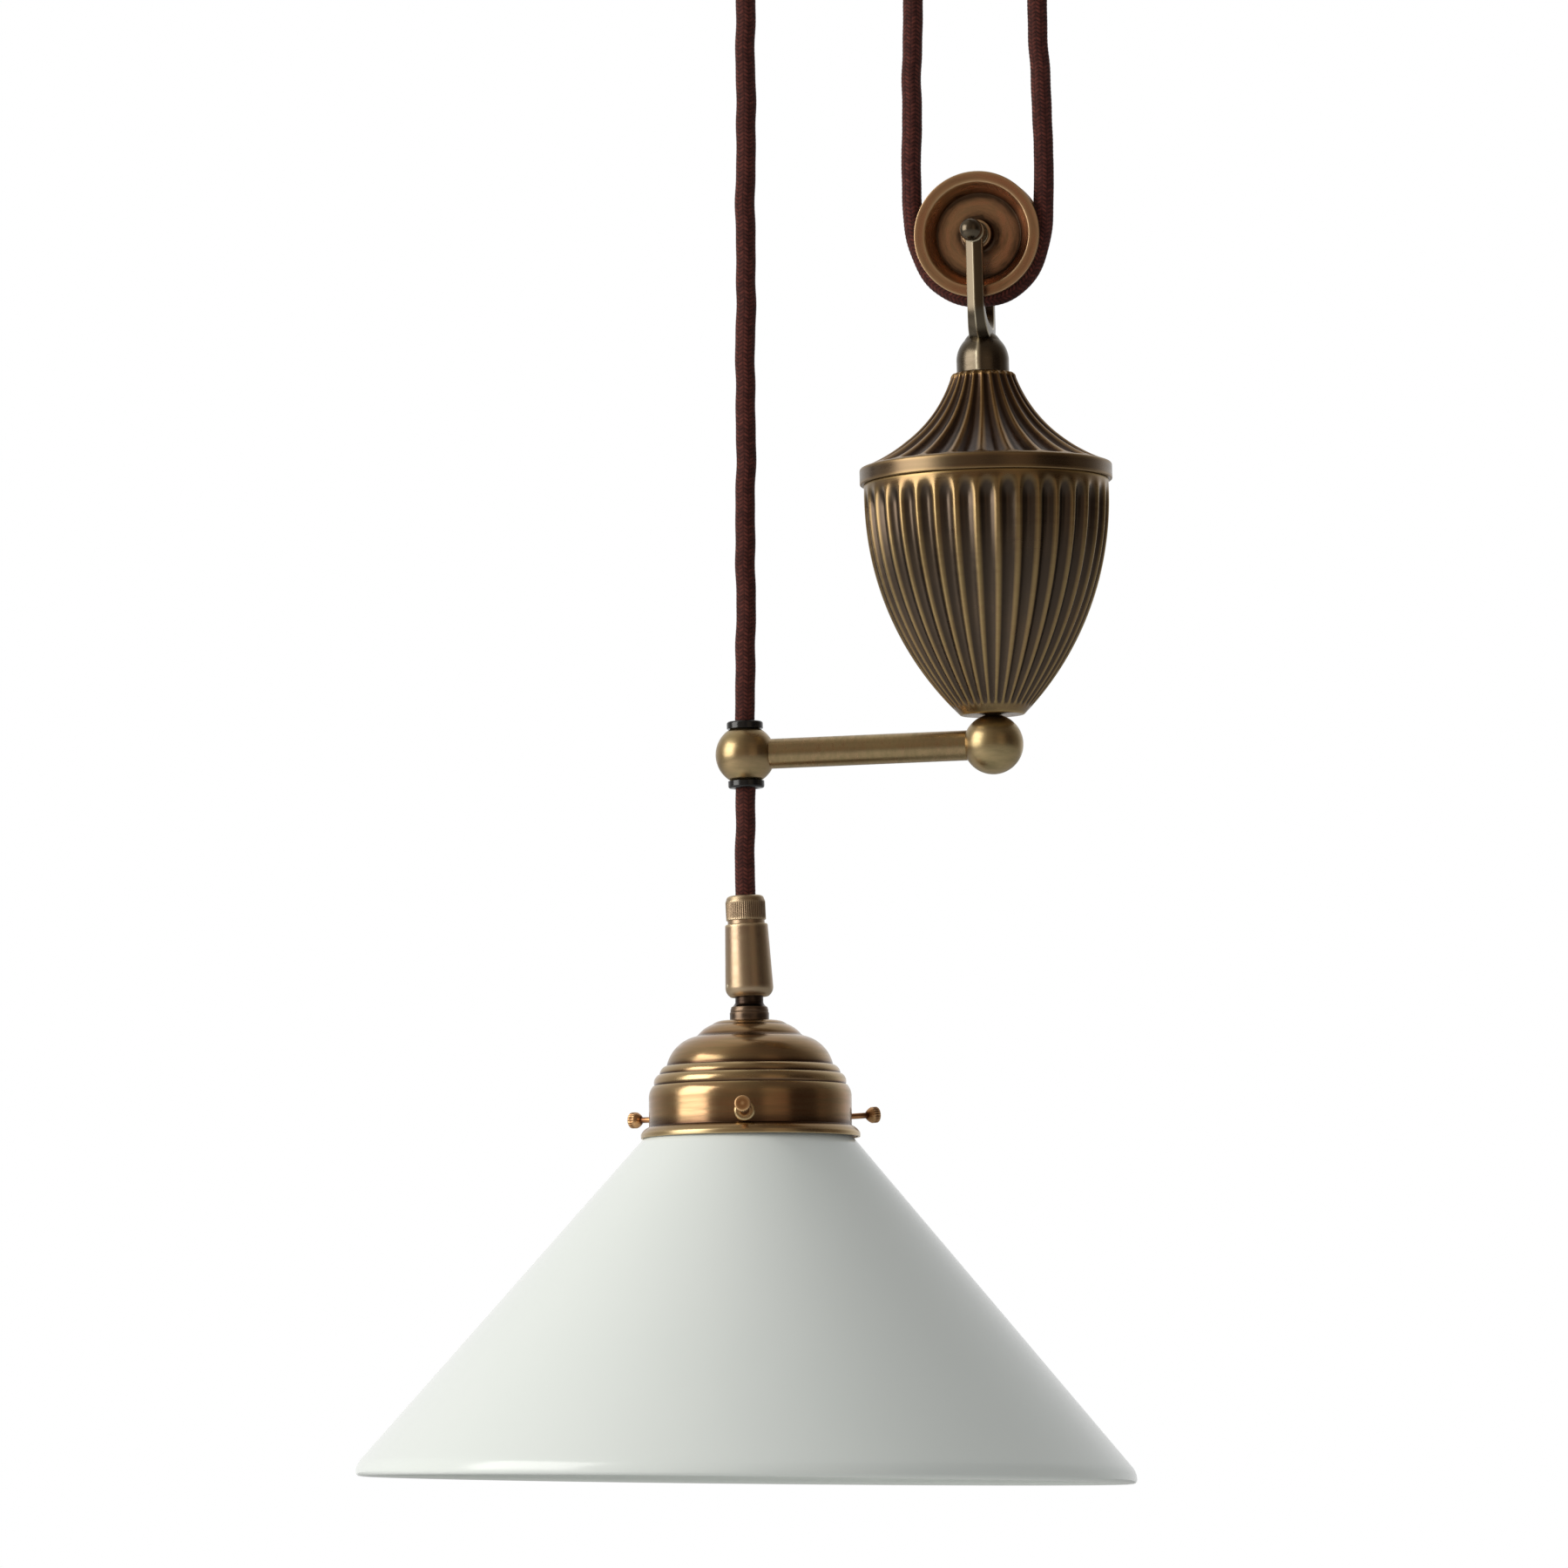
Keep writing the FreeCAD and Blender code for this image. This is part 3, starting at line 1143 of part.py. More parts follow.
def lampholder():
    """Hidden in the glass: nut under the gallery, brass cap, ceramic core, skirt, shell and contact."""
    nut_low = d.gallery_top + d.sheet + d.gallery_nut_thick
    hexagon_nut("gallery_nut", shade, d.gallery_nut_across, d.shank_r, -nut_low, d.gallery_nut_thick)
    inner_r = d.holder_r - d.holder_wall
    roof = d.holder_shoulder + d.holder_wall
    turned("lampholder_cap", shade, [
        (d.shank_r, -roof), (inner_r, -roof), (inner_r, -d.holder_split), (d.holder_r, -d.holder_split),
        (d.holder_r, -d.holder_shoulder), (d.holder_neck_r, -d.holder_shoulder),
        (d.holder_neck_r, -d.holder_top), (d.shank_r, -d.holder_top),
    ])
    turned("lampholder_skirt", shade, box_steps(inner_r, d.holder_r, -d.holder_low, -d.holder_split))
    turned("lampholder_core", shade, box_steps(0, d.core_r, -d.core_low, -d.holder_split))
    shell_r, seat_r, sheet = d.shell_r, d.shell_seat_r, d.shell_wall
    turned("screw_shell", shade, [
        (shell_r, -d.shell_low), (shell_r + sheet, -d.shell_low), (shell_r + sheet, -d.shell_step),
        (seat_r + sheet, -d.shell_step), (seat_r + sheet, -d.core_low), (seat_r, -d.core_low),
        (seat_r, -d.shell_step - sheet), (shell_r, -d.shell_step - sheet),
    ])
    body = new_body("centre_contact")
    half = d.contact_long / 2
    strip = draw(new_sketch(body, "XZ_Plane"), [
        (-half, -d.core_low), (-half, -d.core_low - d.contact_thick),
        (0, -d.core_low - d.contact_thick), (half, -d.core_low - d.contact_spring - d.contact_thick),
        (half, -d.core_low - d.contact_spring), (0, -d.core_low),
    ])
    pad(body, strip, d.contact_wide).Midplane = True
    keep(body, "centre_contact", shade)


def glass_shade():
    """Opal glass: a lip that rests on the screws, a short neck and a straight cone to a rounded rim."""
    pivot = d.glass_lip_low
    wall, cove_r, slope = d.glass_wall, d.glass_cove_r, d.cone_angle
    cove_x = d.glass_neck_r + cove_r
    # along the cone's outward normal, the cove's centre is one cove radius off the cone
    off = (d.cone_r - cove_x) * cos(slope) + cove_r
    cove_z = pivot - d.cone_z + off / sin(slope)
    rim_x = d.rim_r - d.rim_turn_r
    rim_off = (d.cone_r - rim_x) * cos(slope) - d.rim_turn_r
    rim_z = pivot - d.cone_z + rim_off / sin(slope)

    def round_cove(reach):
        return cove_x - reach * cos(slope), cove_z - reach * sin(slope)

    def round_rim(reach):
        return rim_x + reach * cos(slope), rim_z + reach * sin(slope)

    outer, inner = d.rim_turn_r, d.rim_turn_r - wall
    top = pivot - d.glass_top
    neck_in = d.glass_neck_r - wall
    outline = [
        (neck_in, top), (neck_in, cove_z), round_cove(cove_r + wall) + (cove_r + wall,),
        round_rim(inner), (rim_x + inner, rim_z, -inner), (rim_x + outer, rim_z, wall / 2 + 0.01),
        round_rim(outer) + (outer,), round_cove(cove_r), (d.glass_neck_r, cove_z, -cove_r),
        (d.glass_neck_r, 0), (d.glass_lip_r, d.glass_bevel), (d.glass_lip_r, top),
    ]
    frame = shade.at(0, -pivot)
    turned("glass_shade", Frame(frame.x, frame.z, -d.glass_lean), outline)


# ---- cord, in five lengths that meet end to end ----

def cord(name, steps, lean):
    """A length of cord along steps in the XZ plane; lean is its start's angle from the vertical."""
    body = new_body(name)
    way = draw(new_sketch(body, "XZ_Plane"), steps, closed=False)
    x, z = steps[0][:2]
    ring = new_sketch(body, "XY_Plane", (x, 0, z))
    ring.AttachmentOffset = FreeCAD.Placement(V(x, 0, z), FreeCAD.Rotation(V(0, 1, 0), lean))
    circles(ring, [(0, 0, d.cord_r)])
    pipe = body.newObject("PartDesign::AdditivePipe", "cord")
    pipe.Profile = ring
    pipe.Spine = (way, [f"Edge{number}" for number in range(1, len(steps))])
    keep(body, name, ceiling)


def onto_wheel(split, way, side):
    """Where a strand begins to bend and where it meets the counterweight's wheel.

    One arc leads from the strand's line to the wheel. It touches both.
    """
    hub = V(d.weight_x.value, 0, d.weight_z.value)
    bow = d.cord_bow.value
    inward = V(way.z, 0, -way.x) * side
    offset = bow - (hub - split).dot(inward)
    gap = bow - d.lower_cord_r.value
    along = (hub - split).dot(way) - math.sqrt(gap**2 - offset**2)
    start = split + way * along
    centre = start + inward * bow
    return start, centre + (hub - centre).normalize() * bow


def cords():
    """Strand at the fixed end, turn round the counterweight, rising strand, turn above, lamp strand."""
    fixed_top = V(d.gland_x.value, 0, d.cord_top.value)
    fixed_end = V(d.fixed_split_x.value, 0, d.split_z.value)
    rising_end = V(d.rising_split_x.value, 0, d.split_z.value)
    wheel = V(d.upper_x.value, 0, d.upper_z.value)
    over_r, under_r, bow = d.upper_cord_r.value, d.lower_cord_r.value, d.cord_bow.value

    reach = rising_end - wheel
    touch = math.atan2(reach.z, reach.x) + math.acos(over_r / reach.Length)
    rising_top = wheel + V(math.cos(touch), 0, math.sin(touch)) * over_r
    lamp_top = wheel - V(over_r, 0, 0)
    lamp_low = d.lamp_z.value + d.cord_in_grip.value * math.cos(math.radians(d.grip_lean.value))

    fixed_way = (fixed_end - fixed_top).normalize()
    rising_way = (rising_end - rising_top).normalize()
    bend_in, meet_in = onto_wheel(fixed_end, fixed_way, 1)
    bend_out, meet_out = onto_wheel(rising_end, rising_way, -1)

    def flat(point, *radius):
        return (point.x, point.z, *radius)

    def lean_of(way):
        return math.degrees(math.atan2(way.x, way.z))

    cord("fixed_strand", [flat(fixed_top), flat(fixed_end)], lean_of(-fixed_way))
    cord("lower_wrap", [
        flat(fixed_end), flat(bend_in), flat(meet_in, -bow), flat(meet_out, -under_r),
        flat(bend_out, -bow), flat(rising_end),
    ], lean_of(-fixed_way))
    cord("rising_strand", [flat(rising_top), flat(rising_end)], lean_of(-rising_way))
    cord("upper_wrap", [
        flat(lamp_top), flat(wheel + V(0, 0, over_r), -over_r), flat(rising_top, -over_r),
    ], 0)
    cord("lamp_strand", [flat(lamp_top), (lamp_top.x, lamp_low)], 0)
    print(f"cord bends: ceiling wheel {over_r:g} mm, counterweight wheel {under_r:g} mm, onto it {bow:g} mm")


# ---- the whole pendant ----

ceiling_plate()
hanger_pillar()
canopy_pillars()
canopy()
canopy_screws()
terminal_block()
cord_gland()
wheel("upper_wheel", upper_axle, d.upper_cord_r)
bearing("upper", upper_axle)
pulley_hanger()
wheel("lower_wheel", weight, d.lower_cord_r)
bearing("lower", weight)
weight_fork()
urn_cap()
urn_band()
urn_vessel()
ballast()
guide_arm()
grip_nut()
barrel_cap()
joint_barrel()
friction_parts()
ball_stem()
gallery()
screw_bosses()
thumb_screws()
lampholder()
glass_shade()
cords()
doc.recompute()

for item in doc.Objects:
    if "Invalid" in item.State or "Error" in item.State:
        raise RuntimeError(f"{item.Name} did not build: {item.State}")
os.makedirs("parts", exist_ok=True)
for item in parts:
    if item.Shape.isNull() or not item.Shape.isValid():
        raise RuntimeError(f"{item.Label} has no sound shape")
    item.Shape.exportStep(f"parts/{item.Label}.step")
    print(f"{item.Label}: {len(item.Shape.Solids)} solid, {item.Shape.Volume / 1000:.2f} cm3")
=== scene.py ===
import json
import math

import bmesh
import bpy
import numpy as np
from mathutils import Matrix, Vector


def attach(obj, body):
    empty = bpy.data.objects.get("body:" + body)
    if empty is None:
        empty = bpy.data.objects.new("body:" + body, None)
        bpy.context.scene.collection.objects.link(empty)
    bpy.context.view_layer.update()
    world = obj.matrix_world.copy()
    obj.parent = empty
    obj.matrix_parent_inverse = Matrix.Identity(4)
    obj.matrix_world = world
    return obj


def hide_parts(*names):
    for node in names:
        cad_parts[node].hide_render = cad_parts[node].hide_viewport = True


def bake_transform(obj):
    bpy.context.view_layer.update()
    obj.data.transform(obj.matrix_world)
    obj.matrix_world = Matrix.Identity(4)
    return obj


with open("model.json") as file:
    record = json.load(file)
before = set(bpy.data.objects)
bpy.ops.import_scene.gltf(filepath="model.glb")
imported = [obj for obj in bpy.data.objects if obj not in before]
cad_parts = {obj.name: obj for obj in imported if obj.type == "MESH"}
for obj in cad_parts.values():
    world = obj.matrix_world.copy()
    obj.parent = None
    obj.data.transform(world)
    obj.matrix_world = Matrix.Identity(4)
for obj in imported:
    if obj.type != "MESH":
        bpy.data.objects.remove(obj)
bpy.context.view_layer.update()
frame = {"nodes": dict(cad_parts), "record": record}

# ---- Studio ----
# The pendant hangs in front of a white backdrop. One tall window lights it from the left,
# the rest of the room is dim, and the lens is long, level with the glass and tilted up a little.

scene = bpy.context.scene
scene.view_settings.view_transform = "Standard"
camera = bpy.data.objects.new("camera", bpy.data.cameras.new("camera"))
camera.data.sensor_width = 36
camera.data.lens = 228
camera.location = (0.7816, -4.3654, -0.9358)
camera.rotation_euler = (math.radians(94.7), 0, math.radians(11))
scene.collection.objects.link(camera)
scene.camera = camera
middle = Vector((-0.02, 0, -0.55))


class Tone:
    """A value in a tree of nodes. Sums on it add Math nodes to that tree."""

    def __init__(self, tree, socket=None):
        self.tree, self.socket = tree, socket

    def node(self, kind, settings=None, sockets=None, output=0):
        """Any other node: its settings come first, then its sockets' values or links."""
        node = self.tree.nodes.new(kind)
        for name, value in (settings or {}).items():
            if name == "stops":
                while len(node.color_ramp.elements) < len(value):
                    node.color_ramp.elements.new(1)
                for element, (place, colour) in zip(node.color_ramp.elements, value):
                    element.position, element.color = place, colour
            else:
                setattr(node, name, value)
        for name, value in (sockets or {}).items():
            if isinstance(value, Tone):
                self.tree.links.new(value.socket, node.inputs[name])
            else:
                node.inputs[name].default_value = value
        return Tone(self.tree, node.outputs[output] if node.outputs else None)

    def sum(self, operation, *values):
        return self.node("ShaderNodeMath", {"operation": operation}, dict(enumerate(values)))

    def __add__(self, other):
        return self.sum("ADD", self, other)

    def __sub__(self, other):
        return self.sum("SUBTRACT", self, other)

    def __rsub__(self, other):
        return self.sum("SUBTRACT", other, self)

    def __mul__(self, other):
        return self.sum("MULTIPLY", self, other)

    def __truediv__(self, other):
        return self.sum("DIVIDE", self, other)

    __radd__ = __add__
    __rmul__ = __mul__


def shade_of(red, green, blue):
    """A colour as a screen shows it, 0 to 255, for a shader's socket."""
    parts = (value / 255 for value in (red, green, blue))
    return (*(v / 12.92 if v < 0.04 else ((v + 0.055) / 1.055) ** 2.4 for v in parts), 1)


def area_light(name, place, width, height, power, tint):
    data = bpy.data.lights.new(name, "AREA")
    data.shape, data.size, data.size_y = "RECTANGLE", width, height
    data.energy, data.color = power, tint
    light = bpy.data.objects.new(name, data)
    light.location = place
    light.rotation_euler = (middle - Vector(place)).to_track_quat("-Z", "Y").to_euler()
    scene.collection.objects.link(light)


def mixed(factor, first, second):
    """Two colours mixed."""
    return factor.node("ShaderNodeMix", {"data_type": "RGBA"}, {0: factor, 6: first, 7: second}, 2)


CAMERA_RAY, GLOSSY_RAY, PASSING_RAY = 0, 3, 6  # outputs of Light Path
OBJECT_PLACE = 3  # output of Texture Coordinate

world = bpy.data.worlds.new("room")
scene.world = world
world.use_nodes = True
world.node_tree.nodes.clear()
room = Tone(world.node_tree)
direction = room.node("ShaderNodeTexCoord")
east, north, up = (room.node("ShaderNodeSeparateXYZ", None, {0: direction}, axis) for axis in range(3))
turn_round = room.sum("ARCTAN2", east * 0.98 + north * 0.19, east * 0.19 - north * 0.98) / (2 * math.pi) + 0.5
# what the brass shows of the room, by the angle from the camera's side, right of it above 0
WALLS = (
    (-180, (0.97, 0.97, 0.97)), (-132, (0.62, 0.61, 0.60)), (-112, (0.38, 0.35, 0.32)), (-96, (0.24, 0.20, 0.16)),
    (-45, (0.20, 0.16, 0.12)), (-26, (0.26, 0.20, 0.145)), (-8, (0.28, 0.215, 0.16)), (3, (0.14, 0.105, 0.08)),
    (13, (0.14, 0.105, 0.08)), (17, (0.38, 0.285, 0.20)), (42, (0.28, 0.205, 0.14)), (47, (0.05, 0.033, 0.022)),
    (80, (0.055, 0.037, 0.026)), (85, (0.15, 0.115, 0.085)), (103, (0.15, 0.125, 0.10)), (120, (0.34, 0.33, 0.32)),
    (138, (0.74, 0.74, 0.74)), (180, (0.97, 0.97, 0.97)),
)
# and higher up, where the wall by the window is still bright
UPPER = (
    (-180, (0.85, 0.85, 0.85)), (-110, (0.68, 0.65, 0.60)), (-60, (0.50, 0.45, 0.38)), (-25, (0.25, 0.21, 0.17)),
    (20, (0.15, 0.12, 0.095)), (95, (0.14, 0.11, 0.09)), (125, (0.40, 0.38, 0.36)), (180, (0.85, 0.85, 0.85)),
)


def panorama(stops):
    return room.node("ShaderNodeValToRGB", {"stops": tuple(
        (angle / 360 + 0.5, (*colour, 1)) for angle, colour in stops
    )}, {0: turn_round})


overhead = room.node("ShaderNodeMapRange", None, {"Value": up, "From Min": 0.3, "From Max": 0.8})
walls = mixed(overhead, panorama(WALLS), panorama(UPPER))
below = room.node("ShaderNodeMapRange", None, {"Value": up, "From Min": -0.1, "From Max": -0.75, "To Max": 0.7})
walls = mixed(below, walls, (0.045, 0.033, 0.023, 1))
camera_ray, glossy_ray, passing_ray = (
    room.node("ShaderNodeLightPath", output=index) for index in (CAMERA_RAY, GLOSSY_RAY, PASSING_RAY)
)
surround = mixed(glossy_ray, (0.42, 0.42, 0.42, 1), walls)
surround = mixed(room.sum("MAXIMUM", camera_ray, passing_ray), surround, (1, 1, 1, 1))
surround = room.node("ShaderNodeBackground", None, {"Color": surround, "Strength": 1.0})
room.node("ShaderNodeOutputWorld", None, {"Surface": surround})

area_light("window", (-2.08, -1.26, 0.15), 1.75, 1.9, 47, (1, 0.985, 0.95))


def linked(name, mesh):
    piece = bpy.data.objects.new(name, mesh)
    scene.collection.objects.link(piece)
    return piece


def material(name):
    """A new material and the value that its nodes grow from."""
    made = bpy.data.materials.new(name)
    made.use_nodes = True
    made.node_tree.nodes.clear()
    return made, Tone(made.node_tree)


def noise(start, vector, scale, detail=2.0):
    return start.node("ShaderNodeTexNoise", None, {"Vector": vector, "Scale": scale, "Detail": detail})


def surface(start, sockets):
    """A Principled shader with these sockets, on the material's output."""
    shader = start.node("ShaderNodeBsdfPrincipled", None, sockets)
    start.node("ShaderNodeOutputMaterial", None, {"Surface": shader})


FLOOR_HALF, FLOOR_LEVEL = 8, -1.5
floor_mesh = bpy.data.meshes.new("floor")
floor_mesh.from_pydata([
    (x * FLOOR_HALF, y * FLOOR_HALF, FLOOR_LEVEL) for x, y in ((-1, -1), (1, -1), (1, 1), (-1, 1))
], [], [(0, 1, 2, 3)])
floor = linked("floor", floor_mesh)
paper, start = material("pale_paper")
fibre = noise(start, start.node("ShaderNodeTexCoord", output=OBJECT_PLACE), 60.0)
seen = start.sum("MAXIMUM", *(
    start.node("ShaderNodeLightPath", output=index) for index in (CAMERA_RAY, PASSING_RAY)
))
surface(start, {
    "Base Color": mixed(fibre, (0.78, 0.78, 0.78, 1), (0.82, 0.82, 0.81, 1)), "Roughness": 0.9,
    "Emission Color": mixed(seen, (0, 0, 0, 1), (0.45, 0.45, 0.45, 1)), "Emission Strength": 1.0,
})
floor_mesh.materials.append(paper)

# ---- Cord ----
# One round cord in a braided cotton sleeve, dark red-brown. It is fixed in the ceiling unit, goes
# down round the counterweight's wheel, up over the ceiling wheel and down into the lamp's grip.

MM = 0.001
CORD_R = 4.5
BRAID_PITCH = 1.8
BRAID_COLUMNS = 12
BRAID_RELIEF = 0.3
RING_STEP = 0.45
SIDES = 48
EASE_OVER = 15
YARNS = 4096
VECTOR, FACTOR = 1, 2  # outputs of Attribute


def stored(start, name, output=FACTOR):
    """A value that the mesh stores on its points."""
    return start.node("ShaderNodeAttribute", {"attribute_name": name}, output=output)


braid, start = material("braided_cotton")
height = stored(start, "braid_height")
yarn = stored(start, "yarn")
across = stored(start, "along", VECTOR)
hairs = noise(start, across, 2.2)
patch = noise(start, across, 0.09)
cotton = mixed(yarn * 0.6 + hairs * 0.4, shade_of(58, 22, 17), shade_of(124, 62, 50))
cotton = mixed(patch * 0.4, cotton, shade_of(80, 32, 26))
# darker in the gaps between the yarns: painted shade
cotton = mixed(start.sum("POWER", 1 - height, 0.5), cotton, shade_of(16, 5, 4))
fuzz = start.node("ShaderNodeBump", None, {"Strength": 0.5, "Distance": 0.0002, "Height": hairs + height * 0.5})
surface(start, {
    "Base Color": cotton, "Roughness": 0.8, "Sheen Weight": 0.08, "Specular IOR Level": 0.2, "Normal": fuzz,
})


def centre_line(name, route):
    """Points of the smooth line that a route's control points give, in mm."""
    curve = bpy.data.curves.new(name, "CURVE")
    curve.dimensions = "3D"
    curve.resolution_u = 32
    spline = curve.splines.new("NURBS")
    spline.points.add(len(route) - 1)
    for point, (x, z) in zip(spline.points, route):
        point.co = (x, 0, z, 1)
    spline.order_u = 3
    spline.use_endpoint_u = True
    line = linked(name, curve)
    mesh = bpy.data.meshes.new_from_object(line)
    points = np.array([vertex.co[:] for vertex in mesh.vertices])
    bpy.data.objects.remove(line)
    return points


def ring_faces(rings, sides):
    """Quads between rings of points, each ring closed on itself."""
    ring, side = np.meshgrid(np.arange(rings - 1), np.arange(sides), indexing="ij")
    following = (side + 1) % sides
    corners = (ring * sides + side, ring * sides + following,
               (ring + 1) * sides + following, (ring + 1) * sides + side)
    return np.stack([corner.ravel() for corner in corners], axis=1).tolist()


def point_values(mesh, name, values):
    """Store a number or a vector for each point of a mesh."""
    values = np.asarray(values, np.float32)
    kind, key = ("FLOAT", "value") if values.ndim == 1 else ("FLOAT_VECTOR", "vector")
    mesh.attributes.new(name, kind, "POINT").data.foreach_set(key, values.ravel())


def strand(name, route, begins):
    """A length of cord on its route's smooth line: the braid starts at a distance along the cord."""
    line = centre_line(name, route)
    run = np.concatenate([[0], np.cumsum(np.linalg.norm(np.diff(line, axis=0), axis=1))])
    rings = int(run[-1] / RING_STEP) + 1
    s = np.linspace(0, run[-1], rings)
    centre = np.stack([np.interp(s, run, line[:, axis]) for axis in range(3)], axis=1)
    way = np.gradient(centre, axis=0)
    way /= np.linalg.norm(way, axis=1, keepdims=True)
    side = np.stack([-way[:, 2], np.zeros(rings), way[:, 0]], axis=1)
    level = begins + s
    ease = np.clip(np.minimum(s, run[-1] - s) / EASE_OVER, 0, 1)
    drift = 0.16 * np.sin(level / 5.3) + 0.22 * np.sin(level / 11.7 + 1) + 0.1 * np.sin(level / 2.9)
    centre += side * (drift * ease)[:, None]

    angle = np.arange(SIDES) * 2 * math.pi / SIDES
    column = angle * BRAID_COLUMNS / (2 * math.pi)
    number = np.floor(column + 1e-6)
    place = column - number
    slant = np.where(number % 2 == 0, 0.75, -0.75) * (place - 0.5)
    stitch = level[:, None] / BRAID_PITCH + slant[None, :]
    along = 2 * (stitch % 1) - 1
    height = (1 - along**4) * (1 - 0.3 * (2 * place[None, :] - 1) ** 6)
    draws = np.random.default_rng(7).random((YARNS, BRAID_COLUMNS))
    shade = draws[np.floor(stitch).astype(int) % YARNS, number.astype(int)[None, :]]
    reach = CORD_R - BRAID_RELIEF * (1 - height) + 0.05 * np.sin(level / 8.1)[:, None]
    rings_out = side[:, None, :] * np.cos(angle)[None, :, None] * reach[:, :, None]
    rings_out[:, :, 1] += np.sin(angle)[None, :] * reach
    points = (centre[:, None, :] + rings_out).reshape(-1, 3) * MM

    mesh = bpy.data.meshes.new(name)
    faces = ring_faces(rings, SIDES)
    last = (rings - 1) * SIDES
    faces += [list(range(SIDES))[::-1], list(range(last, last + SIDES))]
    mesh.from_pydata(points.tolist(), [], faces)
    point_values(mesh, "braid_height", height.ravel())
    point_values(mesh, "yarn", shade.ravel())
    round_it = np.broadcast_to(angle[None, :] * CORD_R, height.shape)
    run_on = np.broadcast_to(level[:, None], height.shape)
    point_values(mesh, "along", np.stack([round_it.ravel(), run_on.ravel() * 0.4, height.ravel()], axis=1))
    facing_out(mesh)
    mesh.shade_smooth()
    mesh.materials.append(braid)
    piece = linked(name, mesh)
    return piece


def facing_out(mesh):
    """Merge a mesh's doubled points and turn its faces outward."""
    shell = bmesh.new()
    shell.from_mesh(mesh)
    bmesh.ops.remove_doubles(shell, verts=shell.verts, dist=2e-7)
    bmesh.ops.recalc_face_normals(shell, faces=shell.faces)
    shell.to_mesh(mesh)
    shell.free()


cord_runs = (
    ("fixed_strand", 0, ((42, -43), (47, -166), (51.9, -290))),
    ("lower_wrap", 247, ((51.9, -290), (52.8, -311.6), (48.66, -338.66), (33.42, -352.12),
                         (13.1, -352.67), (-2.87, -340.01), (-8.86, -310.95), (-8.6, -290))),
    ("rising_strand", 404, ((-8.6, -290), (-7.4, -196), (-6.2, -100.5))),
    ("upper_wrap", 594, ((-6.2, -100.5), (-6.2, -84.3), (-29.16, -61.6), (-61.64, -61.6),
                         (-84.6, -84.3), (-84.6, -100))),
    ("lamp_strand", 718, ((-84.6, -100), (-84.6, -240), (-84.6, -485), (-84.6, -625.4))),
)
strands = {name: strand("cord_" + name, route, begins) for name, begins, route in cord_runs}
for name, piece in strands.items():
    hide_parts(name)
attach(strands["upper_wrap"], "ceiling_unit")
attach(strands["lower_wrap"], "counterweight")
for name, body, top, low in (
    ("fixed_strand", "counterweight", (42, -43), (51.9, -290)),
    ("rising_strand", "counterweight", (-6.2, -100.5), (-8.6, -290)),
    ("lamp_strand", "lamp", (-84.6, -100), (-84.6, -625.4)),
):
    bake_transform(strands[name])

# ---- Ceiling unit ----
# A spun brass canopy over a steel plate, held by two domed screws. The hanger of the ceiling wheel
# screws into a hexagon pillar, and the cord's fixed end comes out of a turned gland.

home = {node: body for body, nodes in frame["record"]["behaviour"]["bodies"].items() for node in nodes}


def brass(name, warm, olive, patina_and_shade_colour, clean, rough, marks_deep, grain_deep, streaks=0.2):
    """Brass that was darkened and rubbed back: dark in its hollows, partly patina and partly painted shade, and
    clean on its edges.

    Turned pieces carry the way round and along their outline, which their tool marks follow.
    """
    made, start = material(name)
    place = start.node("ShaderNodeTexCoord", output=OBJECT_PLACE)
    turned_way = stored(start, "turned", VECTOR)
    hollow = stored(start, "hollow")
    edge = stored(start, "edge")
    marks = noise(start, turned_way, 1.5, 3.0)
    bands = noise(start, turned_way, 0.45, 3.0)
    cloud = noise(start, place, 42.0, 3.0)
    grain = noise(start, place, 1400.0, 2.0)
    tone = cloud * 0.45 + bands * 0.4 + marks * 0.15
    tint = start.node("ShaderNodeValToRGB", {"stops": ((0.38, warm), (0.62, olive))}, {0: tone})
    streak = start.node("ShaderNodeMapRange", None, {
        "Value": bands * 0.7 + marks * 0.3, "From Min": 0.42, "From Max": 0.62,
    })
    # the hollows darken the colour as patina and painted shade; random tool streaks darken it too
    patina_and_shade = start.sum("MINIMUM", hollow * (0.75 + cloud * 0.5) + streak * streaks, 1.0)
    tint = mixed(patina_and_shade, tint, patina_and_shade_colour)
    tint = mixed(edge * (0.55 + bands * 0.4), tint, clean)
    gloss = rough + (bands - 0.5) * 0.1 + (tone - 0.5) * 0.2 + patina_and_shade * 0.04 + edge * 0.08
    relief = start.node("ShaderNodeBump", None, {
        "Strength": 1.0, "Distance": 0.001, "Height": marks * marks_deep + grain * grain_deep,
    })
    surface(start, {"Base Color": tint, "Metallic": 1.0, "Roughness": gloss, "Normal": relief})
    return made


aged_brass = brass(
    "spun_brass", warm=shade_of(164, 128, 96), olive=shade_of(166, 141, 102), patina_and_shade_colour=shade_of(88, 66, 50),
    clean=shade_of(222, 200, 154), rough=0.21, marks_deep=0.003, grain_deep=0.001, streaks=0.3,
)
cast_brass = brass(
    "cast_brass", warm=shade_of(132, 104, 76), olive=shade_of(140, 119, 84), patina_and_shade_colour=shade_of(80, 69, 60),
    clean=shade_of(192, 165, 112), rough=0.27, marks_deep=0.0005, grain_deep=0.003, streaks=0.0,
)
cap_brass = brass(
    "cast_cap_brass", warm=shade_of(120, 90, 62), olive=shade_of(130, 104, 70), patina_and_shade_colour=shade_of(68, 53, 43),
    clean=shade_of(176, 142, 92), rough=0.27, marks_deep=0.0005, grain_deep=0.003, streaks=0.0,
)
drawn_brass = brass(
    "drawn_brass", warm=shade_of(164, 138, 104), olive=shade_of(172, 154, 112), patina_and_shade_colour=shade_of(92, 74, 56),
    clean=shade_of(226, 204, 156), rough=0.3, marks_deep=0.004, grain_deep=0.002, streaks=0.3,
)
